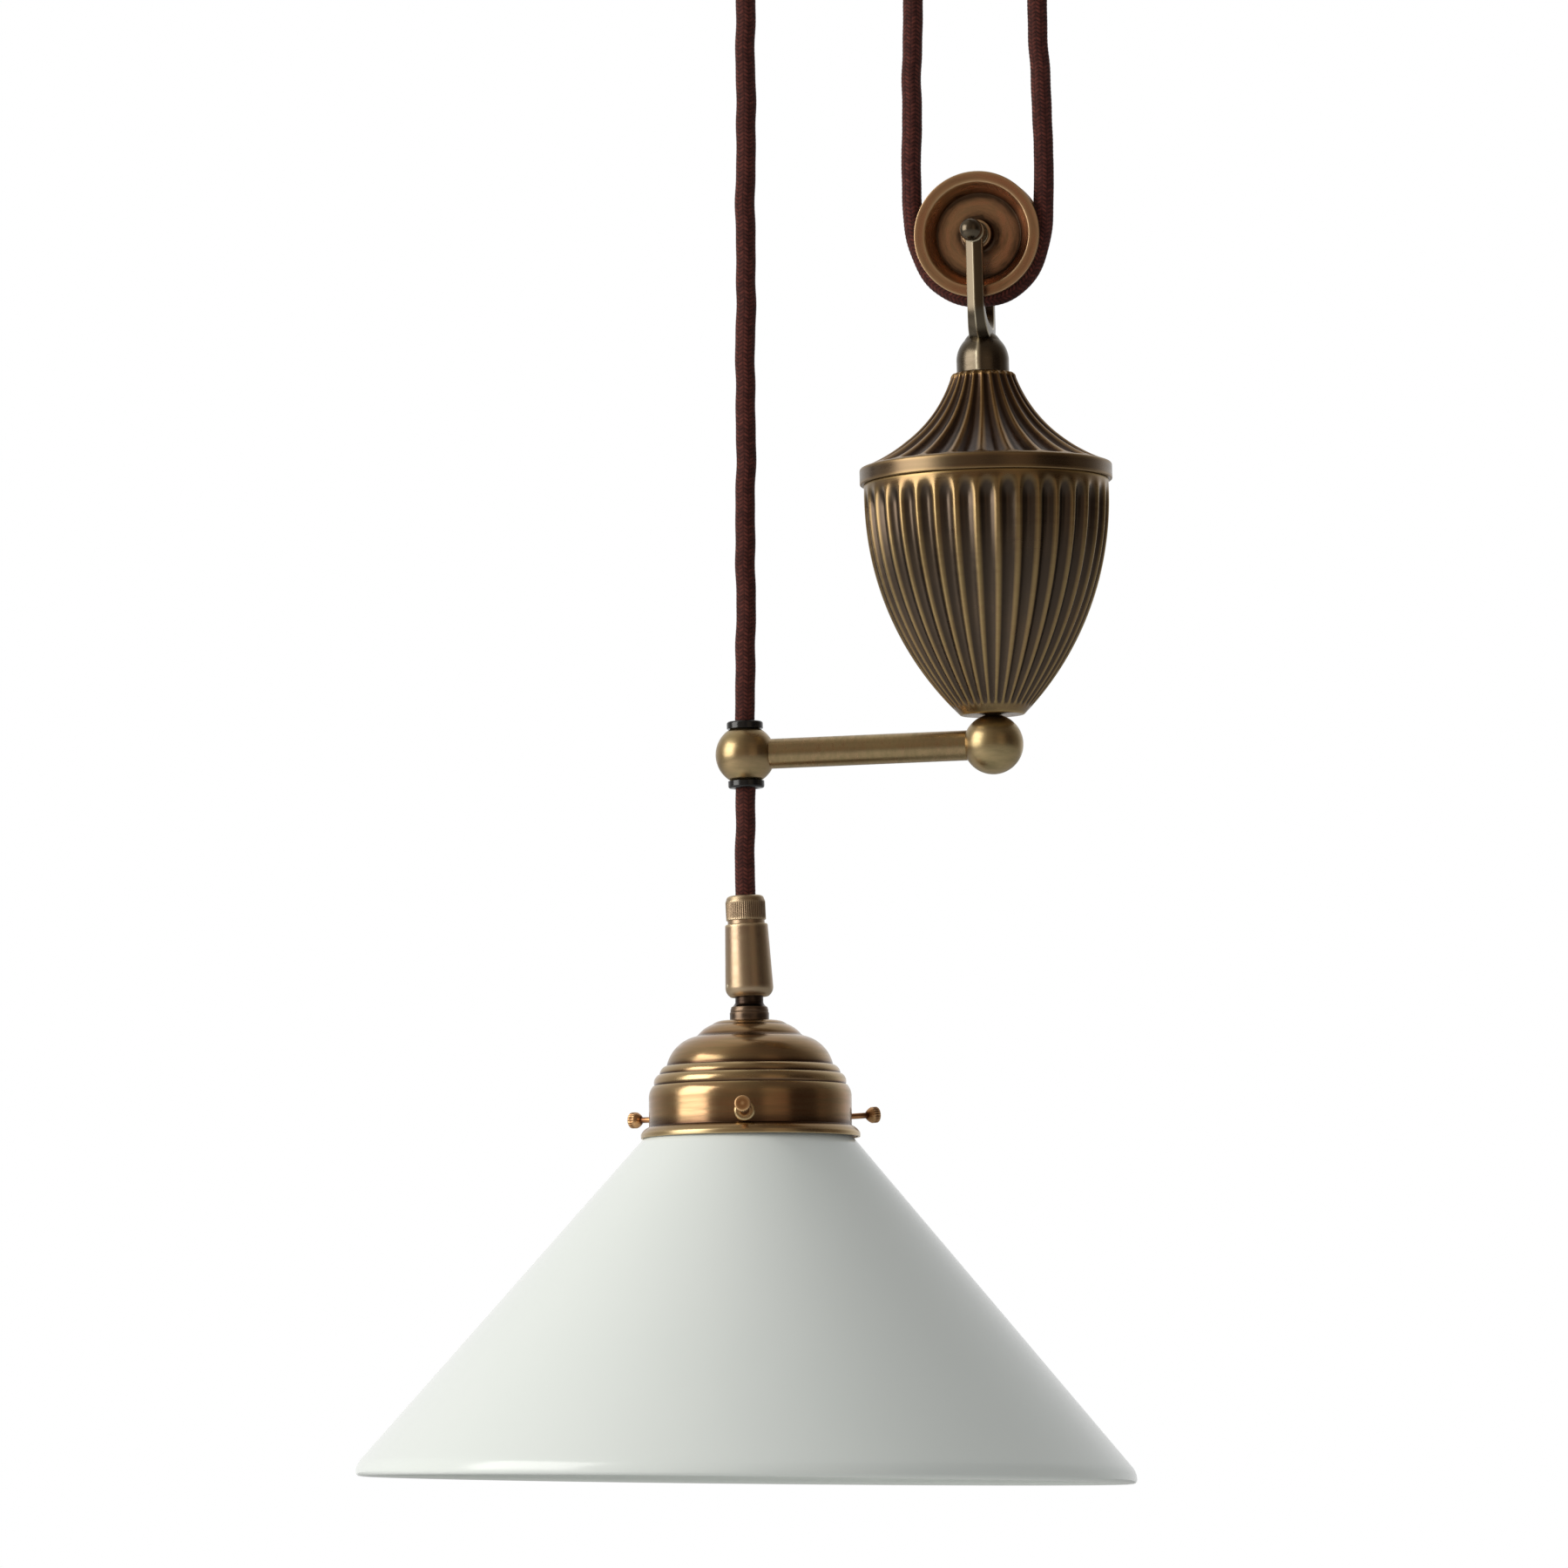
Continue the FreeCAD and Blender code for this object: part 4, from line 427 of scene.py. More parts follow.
plain_brass = brass(
    "plain_brass", warm=shade_of(214, 176, 110), olive=shade_of(220, 186, 118), patina_and_shade_colour=shade_of(150, 112, 66),
    clean=shade_of(236, 208, 150), rough=0.24, marks_deep=0.004, grain_deep=0.001,
)


def plain(name, low, high, rough, scale, metal=0.0, deep=0.02):
    """A finish with a little colour, gloss and relief from one noise."""
    made, start = material(name)
    place = start.node("ShaderNodeTexCoord", output=OBJECT_PLACE)
    cloud = noise(start, place, scale, 4.0)
    relief = start.node("ShaderNodeBump", None, {"Strength": 1.0, "Distance": 0.001, "Height": cloud * deep})
    surface(start, {"Base Color": mixed(cloud, low, high), "Metallic": metal, "Roughness": rough + cloud * 0.12,
                    "Normal": relief})
    return made


steel = plain("zinc_plated_steel", shade_of(150, 152, 154), shade_of(196, 198, 196),
              rough=0.28, scale=220.0, metal=1.0)
iron = plain("cast_iron", shade_of(52, 50, 48), shade_of(78, 74, 70),
             rough=0.62, scale=700.0, metal=0.8, deep=0.12)
block_plastic = plain("moulded_plastic", shade_of(214, 212, 204), shade_of(226, 224, 216),
                      rough=0.4, scale=300.0)
seat_plastic = plain("friction_plastic", shade_of(206, 202, 188), shade_of(220, 216, 204),
                     rough=0.45, scale=300.0)
porcelain = plain("porcelain", shade_of(232, 230, 222), shade_of(240, 239, 233),
                  rough=0.12, scale=90.0)
black_rubber = plain("black_grommet", shade_of(14, 14, 15), shade_of(26, 25, 26),
                     rough=0.14, scale=160.0)

finishes = {
    "aged_brass": aged_brass, "cast_brass": cast_brass, "plain_brass": plain_brass, "screw_brass": plain_brass,
    "steel": steel, "iron": iron, "block_plastic": block_plastic, "seat_plastic": seat_plastic,
    "porcelain": porcelain, "black_grommet": black_rubber, "braided_cord": braid, "opal_glass": porcelain,
}
slots = {part["node"]: part["material_slot"] for part in frame["record"]["subparts"]}
for node, piece in frame["nodes"].items():
    for holder in piece.material_slots:
        holder.material = finishes[slots[node]]


def place_at(x, z, lean=0):
    """A place in the pendant: a point in mm, and a lean that carries hanging ends to +X."""
    return Matrix.Translation((x * MM, 0, z * MM)) @ Matrix.Rotation(math.radians(lean), 4, (0, -1, 0))


def arc_points(start, end, radius, spacing):
    """Points of an arc after its start: left-handed for a radius above 0, else right-handed."""
    start, end = np.array(start, float), np.array(end, float)
    chord = end - start
    half = np.linalg.norm(chord) / 2
    side = np.array([-chord[1], chord[0]]) / (2 * half)
    centre = (start + end) / 2 + side * math.copysign(math.sqrt(max(radius**2 - half**2, 0)), radius)
    sweep = 2 * math.asin(min(half / abs(radius), 1)) * (1 if radius > 0 else -1)
    count = max(3, int(abs(sweep) * abs(radius) / spacing), int(abs(sweep) / 0.12))
    first = math.atan2(*(start - centre)[::-1])
    angles = first + sweep * np.arange(1, count + 1) / count
    return [centre + abs(radius) * np.array([math.cos(a), math.sin(a)]) for a in angles]


def outline_points(steps, spacing, soft):
    """A closed outline (r, z) or (r, z, radius of the arc that leads there), with its corners eased."""
    rough, corner = [], []
    for index, step in enumerate(steps):
        before = steps[index - 1]
        if len(step) == 3:
            arc = arc_points(before[:2], step[:2], step[2], spacing)
            rough += arc
            corner += [False] * (len(arc) - 1) + [True]
        else:
            rough.append(np.array(step[:2], float))
            corner.append(True)
    eased = []
    for index, point in enumerate(rough):
        before, after = rough[index - 1], rough[(index + 1) % len(rough)]
        back, on = before - point, after - point
        reach_back, reach_on = np.linalg.norm(back), np.linalg.norm(on)
        turn = np.dot(-back, on) / (reach_back * reach_on)
        if not corner[index] or turn > 0.9 or point[0] < 1e-6:
            eased.append(point)
            continue
        cut = min(soft, 0.45 * reach_back, 0.45 * reach_on)
        first, last = point + back * cut / reach_back, point + on * cut / reach_on
        eased += [first * (1 - t) ** 2 + point * 2 * t * (1 - t) + last * t * t for t in (0, 0.33, 0.67, 1)]
    points = []
    for index, point in enumerate(eased):
        after = eased[(index + 1) % len(eased)]
        parts = 1 if max(point[0], after[0]) < 1e-6 else max(1, int(np.linalg.norm(after - point) / spacing))
        points += [point + (after - point) * part / parts for part in range(parts)]
    return np.array(points)


def hollows_of(points, reach=1.3, full=0.22, edge_full=0.3):
    """For each point of a closed outline: how hollow and how sharp, how far along, how far it faces out."""
    count = len(points)
    area = np.sum(points[:, 0] * np.roll(points[:, 1], -1) - np.roll(points[:, 0], -1) * points[:, 1])
    steps = np.linalg.norm(np.roll(points, -1, axis=0) - points, axis=1)
    along = np.concatenate([[0], np.cumsum(steps)])
    total = along[-1]
    wrapped = np.vstack([points, points, points, points[:1]])
    run = np.concatenate([along[:-1] - total, along[:-1], along[:-1] + total, [2 * total]])

    def at(s):
        return np.stack([np.interp(s, run, wrapped[:, axis]) for axis in (0, 1)], axis=1)

    here = along[:count]
    ahead, behind = at(here + reach), at(here - reach)
    near = (at(here + reach / 2) + at(here - reach / 2)) / 2
    way = at(here + reach / 4) - at(here - reach / 4)
    out = np.stack([way[:, 1], -way[:, 0]], axis=1) * (1 if area > 0 else -1)
    out /= np.maximum(np.linalg.norm(out, axis=1, keepdims=True), 1e-9)
    bulge = np.sum((points - ((ahead + behind) / 2 + near) / 2) * out, axis=1)
    return np.clip(-bulge / full, 0, 1), np.clip(bulge / edge_full, 0, 1), here, out[:, 0]


def lathe(name, steps, columns=128, spacing=0.8, soft=0.3):
    """A turned mesh round Z in metres, with its hollows, edges and tool marks stored on its points."""
    points = outline_points(steps, spacing, soft)
    hollow, edge, along, facing = hollows_of(points)
    # narrow and broad hollows are stored for darkening: partly patina, partly painted shade
    wide_hollow = hollows_of(points, reach=4.5, full=0.9)[0]
    hollow = np.maximum(hollow, 0.75 * wide_hollow)
    angle = np.arange(columns) * 2 * math.pi / columns
    rings = np.stack([
        points[:, :1] * np.cos(angle), points[:, :1] * np.sin(angle), np.repeat(points[:, 1:], columns, axis=1),
    ], axis=2)
    count = len(points)
    faces = ring_faces(count + 1, columns)
    wrap = count * columns
    faces = [[corner % wrap for corner in face] for face in faces]
    mesh = bpy.data.meshes.new(name)
    mesh.from_pydata((rings.reshape(-1, 3) * MM).tolist(), [], faces)
    for title, values in (("hollow", hollow), ("edge", edge), ("facing", np.clip(facing * 4, 0, 1))):
        point_values(mesh, title, np.repeat(values, columns))
    way_round = np.stack([
        3 * np.tile(np.cos(angle), count), 3 * np.tile(np.sin(angle), count), np.repeat(along, columns),
    ], axis=1)
    point_values(mesh, "turned", way_round)
    facing_out(mesh)
    return mesh


def finished(name, mesh, finish, matrix, *nodes, sharp=True):
    """Put a mesh in its place in the pendant, as the piece that stands for its CAD nodes."""
    mesh.transform(matrix)
    if not mesh.has_custom_normals:
        mesh.shade_smooth()
        if sharp:
            mesh.set_sharp_from_angle(angle=math.radians(38))
    mesh.materials.clear()
    mesh.materials.append(finish)
    piece = linked(name, mesh)
    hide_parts(*nodes)
    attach(piece, home[nodes[0]])
    return piece


def crisp(mesh, soft):
    """Cut narrow flats on a mesh's sharp edges, worn bright outside and dark inside with patina and painted shade;
    keep its faces flat.
    """
    shell = bmesh.new()
    shell.from_mesh(mesh)
    bmesh.ops.remove_doubles(shell, verts=shell.verts, dist=1e-6)
    bmesh.ops.dissolve_limit(shell, angle_limit=math.radians(0.6), verts=shell.verts, edges=shell.edges)
    sharp = [edge for edge in shell.edges
             if len(edge.link_faces) == 2 and edge.calc_face_angle() > math.radians(22)]
    cut = bmesh.ops.bevel(shell, geom=sharp, offset=soft * MM, segments=2, profile=0.6, affect="EDGES",
                          clamp_overlap=False)
    made = set(cut["faces"])
    shell.normal_update()
    bulges = np.zeros(len(shell.verts))
    shell.verts.index_update()
    for point in shell.verts:
        if made.issuperset(point.link_faces):
            bends = [edge.calc_face_angle_signed() for edge in point.link_edges if len(edge.link_faces) == 2]
            bulges[point.index] = math.copysign(1, sum(bends))
    shell.to_mesh(mesh)
    shell.free()
    point_values(mesh, "edge", np.clip(bulges, 0, 1))
    point_values(mesh, "hollow", np.clip(-bulges, 0, 1))
    mesh.shade_smooth()
    normals = np.zeros((len(mesh.vertices), 3))
    for face in mesh.polygons:
        normals[list(face.vertices)] += np.array(face.normal) * face.area
    normals /= np.maximum(np.linalg.norm(normals, axis=1, keepdims=True), 1e-12)
    mesh.normals_split_custom_set_from_vertices(normals.tolist())


def dressed(node, finish, soft):
    """A copy of a CAD node, merged, with its sharp edges eased."""
    mesh = frame["nodes"][node].data.copy()
    mesh.name = node + "_finished"
    crisp(mesh, soft)
    return finished(node + "_finished", mesh, finish, Matrix.Identity(4), node)


for node in ("pulley_hanger", "gland_body", "gland_cap", "canopy_screws", "upper_side_washers",
             "upper_ball_nuts"):
    dressed(node, finishes[slots[node]], 0.25)
finished("canopy_shell", lathe("canopy_shell", (
    (5, -36), (53, -36), (61, -28, 8), (63.5, -28), (68.8, -7, -24), (70, -7), (70, 0), (68.8, 0),
    (68.8, -5.8), (67.6, -5.8), (62.3, -26.8, 25.2), (59.8, -26.8), (59.8, -28), (53, -34.8, -6.8), (5, -34.8),
), columns=160), aged_brass, place_at(0, 0), "canopy")

# ---- Wheels ----
# Two turned brass wheels, grooved for the cord and dished on both faces, on bronze bushes. The
# lower one turns in the counterweight's fork between two washers, on an axle with ball nuts.

upper_axle = place_at(-45.4, -100)
weight = place_at(22.5, -324.4, 1.5)
AXLE_WAY = Matrix.Rotation(math.radians(-90), 4, "X")

wheel_brass = brass(
    "turned_wheel_brass", warm=shade_of(194, 144, 112), olive=shade_of(190, 154, 116), patina_and_shade_colour=shade_of(80, 62, 48),
    clean=shade_of(206, 176, 136), rough=0.28, marks_deep=0.004, grain_deep=0.001, streaks=0.35,
)


def wheel(name, cord_r, place, node):
    rim_r, half, web, groove_r = cord_r + 0.5, 7.7, 1.4, 4.75
    groove_y = math.sqrt(groove_r**2 - 0.25)
    finished(name, lathe(name, (
        (rim_r, groove_y, -groove_r), (rim_r, half), (rim_r - 4.7, half), (rim_r - 9.3, web), (8.5, web),
        (6.5, web + 2, -2), (6.5, half), (4, half), (4, -half), (6.5, -half), (6.5, -web - 2), (8.5, -web, -2),
        (rim_r - 9.3, -web), (rim_r - 4.7, -half), (rim_r, -half), (rim_r, -groove_y),
    ), spacing=0.7, soft=0.3), wheel_brass, place @ AXLE_WAY, node)


fork_brass = brass(
    "dark_cast_brass", warm=shade_of(98, 88, 75), olive=shade_of(102, 93, 77), patina_and_shade_colour=shade_of(56, 46, 39),
    clean=shade_of(244, 232, 202), rough=0.26, marks_deep=0.001, grain_deep=0.006,
)
wheel("ceiling_wheel", 39.2, upper_axle, "upper_wheel")
wheel("counterweight_wheel", 28, weight, "lower_wheel")
for node in ("lower_side_washers", "lower_ball_nuts"):
    dressed(node, fork_brass, 0.25)


def swept_hexagon(name, across, path):
    """A hexagon bar along (y, z) points in mm, one edge on its outer side, thicker where it bends."""
    path = np.array(path, float)
    way = np.gradient(path, axis=0)
    way /= np.linalg.norm(way, axis=1, keepdims=True)
    angle = np.radians(np.arange(6) * 60)
    points = []
    for (y, z), (run_y, run_z) in zip(path, way):
        corner_r = across / math.sqrt(3) * (1 + 0.35 * run_y**2)
        for turn in angle:
            out, side = corner_r * math.cos(turn), corner_r * math.sin(turn)
            points.append((side, y - run_z * -out, z + run_y * -out))
    mesh = bpy.data.meshes.new(name)
    count = len(path)
    faces = ring_faces(count, 6) + [list(range(6))[::-1], list(range(6 * count - 6, 6 * count))]
    mesh.from_pydata((np.array(points) * MM).tolist(), [], faces)
    facing_out(mesh)
    return mesh


def joined(name, meshes):
    """One mesh of several closed ones."""
    shell = bmesh.new()
    for mesh in meshes:
        shell.from_mesh(mesh)
    whole = bpy.data.meshes.new(name)
    shell.to_mesh(whole)
    shell.free()
    return whole


# the fork: one hexagon bar bent under the wheel, an eye at each end, and a foot with two ridges
FORK_HALF, BEND_LEVEL, BAR_TOP, BAR_ACROSS = 13.6, -31.6, 2.5, 7.4
EYE_R, EYE_HALF = 5, 4.3
bend = [(-FORK_HALF * math.cos(t), BEND_LEVEL - FORK_HALF * math.sin(t))
        for t in np.radians(np.arange(0, 181, 6))]
bar = swept_hexagon("fork_bar", BAR_ACROSS, [(-FORK_HALF, BAR_TOP)] + bend + [(FORK_HALF, BAR_TOP)])
eyes = [lathe("fork_eye", (
    (0, middle_y - EYE_HALF), (EYE_R, middle_y - EYE_HALF), (EYE_R, middle_y + EYE_HALF), (0, middle_y + EYE_HALF),
), columns=48, spacing=1.5, soft=0.3) for middle_y in (-FORK_HALF, FORK_HALF)]
for eye in eyes:
    eye.transform(AXLE_WAY)
foot = lathe("fork_foot", (
    (2, -43.4), (4.9, -43.9), (8.0, -47.3, -9), (11.8, -57.5, -13.5), (11.8, -62.1), (2, -62.1),
), columns=120, spacing=0.7)
spots = np.array([vertex.co[:] for vertex in foot.vertices])
off_front = np.abs(np.arctan2(spots[:, 0], np.abs(spots[:, 1])))
spots[:, :2] *= (1 + 0.085 * np.exp(-off_front / 0.3))[:, None]
foot.vertices.foreach_set("co", spots.astype(np.float32).ravel())
ridge_line = np.exp(-(off_front / 0.06) ** 2) * (np.hypot(spots[:, 0], spots[:, 1]) > 0.004)
foot.attributes["edge"].data.foreach_set("value", ridge_line.astype(np.float32))
crisp(bar, 0.5)
for mesh in (bar, *eyes, foot):
    mesh.shade_smooth()
finished("weight_fork_cast", joined("weight_fork", [bar, *eyes, foot]), fork_brass, weight, "weight_fork")

# ---- Urn ----
# The counterweight's urn is cast brass, weighted with iron: a hollow cap with wide flutes, a
# moulded band, and a vessel with narrow flutes that end in a level line above its plain foot.


def cap_r(level, inset=0):
    return 72.5 - math.sqrt((61.4 + inset) ** 2 - (level - 43.5) ** 2)


def vessel_r(level, inset=0):
    return math.sqrt((138.5 - inset) ** 2 - (level - 118.15) ** 2) - 83.4


def flute_tree():
    """Cut flutes into a turned mesh: they follow its radius, with round upper ends and level lower ends."""
    tree = bpy.data.node_groups.new("flutes", "GeometryNodeTree")
    tree.interface.new_socket("Geometry", in_out="OUTPUT", socket_type="NodeSocketGeometry")
    tree.interface.new_socket("Geometry", in_out="INPUT", socket_type="NodeSocketGeometry")
    for title in ("Flutes", "Depth per radius", "Share of pitch", "Upper end", "Upper round", "Lower end",
                  "Lower round", "Crest round", "Patina", "Arch"):
        tree.interface.new_socket(title, in_out="INPUT", socket_type="NodeSocketFloat")
    tree.interface.new_socket("Finish", in_out="INPUT", socket_type="NodeSocketMaterial")
    base = Tone(tree)
    inputs = tree.nodes.new("NodeGroupInput")
    given = {socket.name: Tone(tree, socket) for socket in inputs.outputs if socket.name}
    position = base.node("GeometryNodeInputPosition")
    x, y, z = (base.node("ShaderNodeSeparateXYZ", None, {0: position}, axis) for axis in range(3))
    radius = base.sum("SQRT", x * x + y * y)
    angle = base.sum("ARCTAN2", y, x)
    pitch = base.sum("FRACT", angle * given["Flutes"] / (2 * math.pi) + 200.5)
    off = base.sum("ABSOLUTE", pitch * 2 - 1)
    below = (given["Upper end"] - z) / given["Upper round"]
    below = base.sum("MINIMUM", base.sum("MAXIMUM", below, 0.0), 1.0)
    above = (z - given["Lower end"]) / given["Lower round"]
    above = base.sum("MINIMUM", base.sum("MAXIMUM", above, 0.0), 1.0)
    fading = below * (2 - below) * above * (2 - above)
    across = off / (given["Share of pitch"] * (1 - (1 - fading) * given["Arch"]))
    deep = base.sum("SMOOTH_MAX", fading * (1 - across * across), 0.0, given["Crest round"])
    facing = base.node("GeometryNodeInputNamedAttribute", None, {"Name": "facing"})
    deep = deep * (deep * 0.6 + 0.4) * facing
    cut = deep * given["Depth per radius"] * -1
    shift = base.node("ShaderNodeVectorMath", {"operation": "SCALE"},
                      {0: base.node("GeometryNodeInputNormal"), "Scale": cut * radius})
    moved = base.node("GeometryNodeSetPosition", None, {"Geometry": given["Geometry"], "Offset": shift})
    hollow = base.node("GeometryNodeInputNamedAttribute", None, {"Name": "hollow"})
    edge = base.node("GeometryNodeInputNamedAttribute", None, {"Name": "edge"})
    # grooves are darker by their depth: partly patina, partly painted shade
    paint = base.sum("MINIMUM", deep * 2.2, 1.0)
    bare = 1 - paint
    for title, value in (
        ("hollow", base.sum("MAXIMUM", hollow, paint * given["Patina"])),
        ("edge", base.sum("MAXIMUM", edge, bare * fading * facing * 0.55)),
    ):
        moved = base.node("GeometryNodeStoreNamedAttribute", {"data_type": "FLOAT", "domain": "POINT"},
                          {"Geometry": moved, "Name": title, "Value": value})
    moved = base.node("GeometryNodeRealizeInstances", None, {"Geometry": moved})
    moved = base.node("GeometryNodeSetMaterial", None, {"Geometry": moved, "Material": given["Finish"]})
    base.node("NodeGroupOutput", None, {0: moved})
    return tree


flutes = flute_tree()


def fluted(mesh, finish, sizes):
    """Run the flute tree on a mesh and return the plain result."""
    holder = linked("fluting", mesh)
    modifier = holder.modifiers.new("flutes", "NODES")
    modifier.node_group = flutes
    names = {socket.name: socket.identifier
             for socket in flutes.interface.items_tree if socket.in_out == "INPUT"}
    for title, value in {**sizes, "Finish": finish}.items():
        modifier[names[title]] = value
    cut = bpy.data.meshes.new_from_object(holder.evaluated_get(bpy.context.evaluated_depsgraph_get()))
    holder.modifiers.remove(modifier)
    bpy.data.objects.remove(holder)
    return cut


cap = lathe("urn_cap", (
    (3.2, -62.1), (cap_r(64.3) - 2.2, -62.1), (cap_r(64.3), -64.3, -2.2), (cap_r(93), -93, 61.4), (54.7, -103.8, 75),
    (54.7, -107), (43, -107), (43, -101.6), (cap_r(98.6, 3.4), -101.6), (cap_r(98.6, 3.4), -98.6),
    (cap_r(66.1, 3.4), -66.1, -64.8), (3.2, -66.1),
), columns=24 * 18, spacing=0.75)
cap = fluted(cap, cap_brass, {
    "Flutes": 24.0, "Depth per radius": 0.052, "Share of pitch": 0.92,
    "Upper end": 0.1, "Upper round": 0.01, "Lower end": -0.1037, "Lower round": 0.0011, "Crest round": 0.2,
    "Patina": 1.0, "Arch": 0.5,
})
finished("urn_cap_fluted", cap, cap_brass, weight, "urn_cap")

band = lathe("urn_band", (
    (40, -114.4), (50, -114.4), (51, -111.5), (56.2, -111.5), (56.7, -111, 0.5), (56.7, -105.3), (55.6, -104.1, 1.2),
    (54.7, -103.8), (54.7, -107), (43, -107), (43, -101.6), (40, -101.6),
), columns=192, spacing=0.6, soft=0.2)
band_brass = brass(
    "band_brass", warm=shade_of(112, 93, 73), olive=shade_of(118, 101, 77), patina_and_shade_colour=shade_of(60, 48, 38),
    clean=shade_of(160, 134, 96), rough=0.28, marks_deep=0.0005, grain_deep=0.003, streaks=0.1,
)
finished("urn_band_turned", band, band_brass, weight, "urn_band")

vessel = lathe("urn_vessel", (
    (3.2, -216.4), (vessel_r(216.4), -216.4), (vessel_r(111.5), -111.5, 138.5), (51, -111.5), (50, -114.4),
    (vessel_r(212.4, 4), -212.4, -134.5), (3.2, -212.4),
), columns=36 * 14, spacing=1.4, soft=0.5)
vessel = fluted(vessel, cast_brass, {
    "Flutes": 36.0, "Depth per radius": 0.042, "Share of pitch": 0.93,
    "Upper end": -0.1135, "Upper round": 0.011, "Lower end": -0.2135, "Lower round": 0.003, "Crest round": 0.2,
    "Patina": 1.0, "Arch": 0.25,
})
finished("urn_vessel_fluted", vessel, cast_brass, weight, "urn_vessel", sharp=False)

# ---- Guide arm ----
# A tube pushed into two turned balls. One is screwed on under the urn, and the lamp's cord slides
# through the other between two glossy black grommets. They keep the two sides apart.

BALL_R, END_FLAT, GUIDE_FLAT, ARM_LEVEL = 13.5, 13.1, 11.8, -229.5
LIE_DOWN = Matrix.Rotation(math.radians(90), 4, "Y")
finished("arm_tube_drawn", lathe("arm_tube", (
    (5.75, -103.6), (6.75, -103.6), (6.75, -9.5), (5.75, -9.5),
), spacing=1.5), drawn_brass, weight @ place_at(0, ARM_LEVEL) @ LIE_DOWN, "arm_tube")
end_flat_r = math.sqrt(BALL_R**2 - END_FLAT**2)
finished("end_ball_turned", lathe("end_ball", (
    (0, -BALL_R), (BALL_R, 0, BALL_R), (end_flat_r, END_FLAT, BALL_R), (3, END_FLAT), (3, 5), (0, 5),
), spacing=0.8), drawn_brass, weight @ place_at(0, ARM_LEVEL), "end_ball")
guide_flat_r = math.sqrt(BALL_R**2 - GUIDE_FLAT**2)
guide = weight @ place_at(-113.1, ARM_LEVEL)
finished("guide_ball_turned", lathe("guide_ball", (
    (6.3, -GUIDE_FLAT), (guide_flat_r, -GUIDE_FLAT), (BALL_R, 0, BALL_R), (guide_flat_r, GUIDE_FLAT, BALL_R),
    (6.3, GUIDE_FLAT),
), spacing=0.8), drawn_brass, guide, "guide_ball")
dressed("guide_grommets", black_rubber, 0.1)

# ---- Grip and ball joint ----
# A knurled nut closes a collet on the cord. Below it a tapered barrel holds the ball of the lamp's
# stem in a friction seat, and a collar stands between the stem's neck and the gallery.

JOINT = (-82.9, -659.4)
SOCKET_R, STEM_BALL_R, STEM_NECK_R = 8.45, 8.2, 6.3
grip = place_at(*JOINT, 2.8)
shade = place_at(*JOINT, 0.6)
satin_brass = brass(
    "satin_brass", warm=shade_of(168, 144, 120), olive=shade_of(174, 154, 124), patina_and_shade_colour=shade_of(96, 76, 62),
    clean=shade_of(214, 194, 160), rough=0.36, marks_deep=0.001, grain_deep=0.001, streaks=0.1,
)
nut = lathe("grip_nut", (
    (6.6, 28.1), (8.95, 28.1), (8.95, 36.4), (8.2, 38.4), (6.1, 39.2, 2.6), (5, 39.2), (5, 36), (6.6, 36),
), columns=60 * 8, spacing=0.5)
nut = fluted(nut, satin_brass, {
    "Flutes": 60.0, "Depth per radius": 0.02, "Share of pitch": 0.95,
    "Upper end": 0.0366, "Upper round": 0.0008, "Lower end": 0.0283, "Lower round": 0.0003, "Crest round": 0.2,
    "Patina": 0.6, "Arch": 0.0,
})
finished("grip_nut_knurled", nut, satin_brass, grip, "grip_nut", sharp=False)
finished("joint_barrel_turned", lathe("joint_barrel", (
    (8.6, 26.3), (8.6, 0), (SOCKET_R, 0), (7.4, -math.sqrt(SOCKET_R**2 - 7.4**2), -SOCKET_R), (8.2, -6.5),
    (10.75, -1.6, 5), (9.6, 25.8), (9.2, 26.3),
), spacing=0.6), satin_brass, grip, "joint_barrel")
dressed("barrel_cap", satin_brass, 0.15)
PIN_TURN, PIN_REACH, PIN_LEVEL = -145, 10.85, -1.4
pin = lathe("barrel_pin", ((0, -1.9), (0.9, -1.9), (0.9, 0), (0, 0)), columns=32, spacing=0.3, soft=0.15)
pin_spin = Matrix.Rotation(math.radians(PIN_TURN), 4, "Z")
pin.transform(pin_spin @ Matrix.Translation((PIN_REACH * MM, 0, PIN_LEVEL * MM)) @ LIE_DOWN)
finished("barrel_pin_turned", pin, fork_brass, grip, "barrel_pin")
collar_brass = brass(
    "collar_brass", warm=shade_of(98, 82, 70), olive=shade_of(104, 90, 76), patina_and_shade_colour=shade_of(54, 42, 36),
    clean=shade_of(126, 106, 88), rough=0.3, marks_deep=0.001, grain_deep=0.001,
)
finished("ball_stem_turned", lathe("ball_stem", (
    (2.6, -36), (5, -36), (5, -13.3), (8.5, -13.3), (8.5, -12.3), (8.1, -11), (STEM_NECK_R, -8.9, -2.9),
    (STEM_NECK_R, -math.sqrt(STEM_BALL_R**2 - STEM_NECK_R**2)),
    (2.6, math.sqrt(STEM_BALL_R**2 - 2.6**2), STEM_BALL_R),
), spacing=0.4, soft=0.2), collar_brass, shade, "ball_stem")
finished("neck_collar_turned", lathe("neck_collar", (
    (5, -17.1), (8.8, -17.1), (8.8, -13.6), (8.5, -13.3), (5, -13.3),
), spacing=0.4, soft=0.15), collar_brass, shade, "neck_collar")

# ---- Gallery and its screws ----
# The gallery is spun from brass sheet: crown, dome, two beads, a cylinder and a flared lip. Three
# coppery thumb screws with knurled heads go through bosses and carry the glass by its neck.

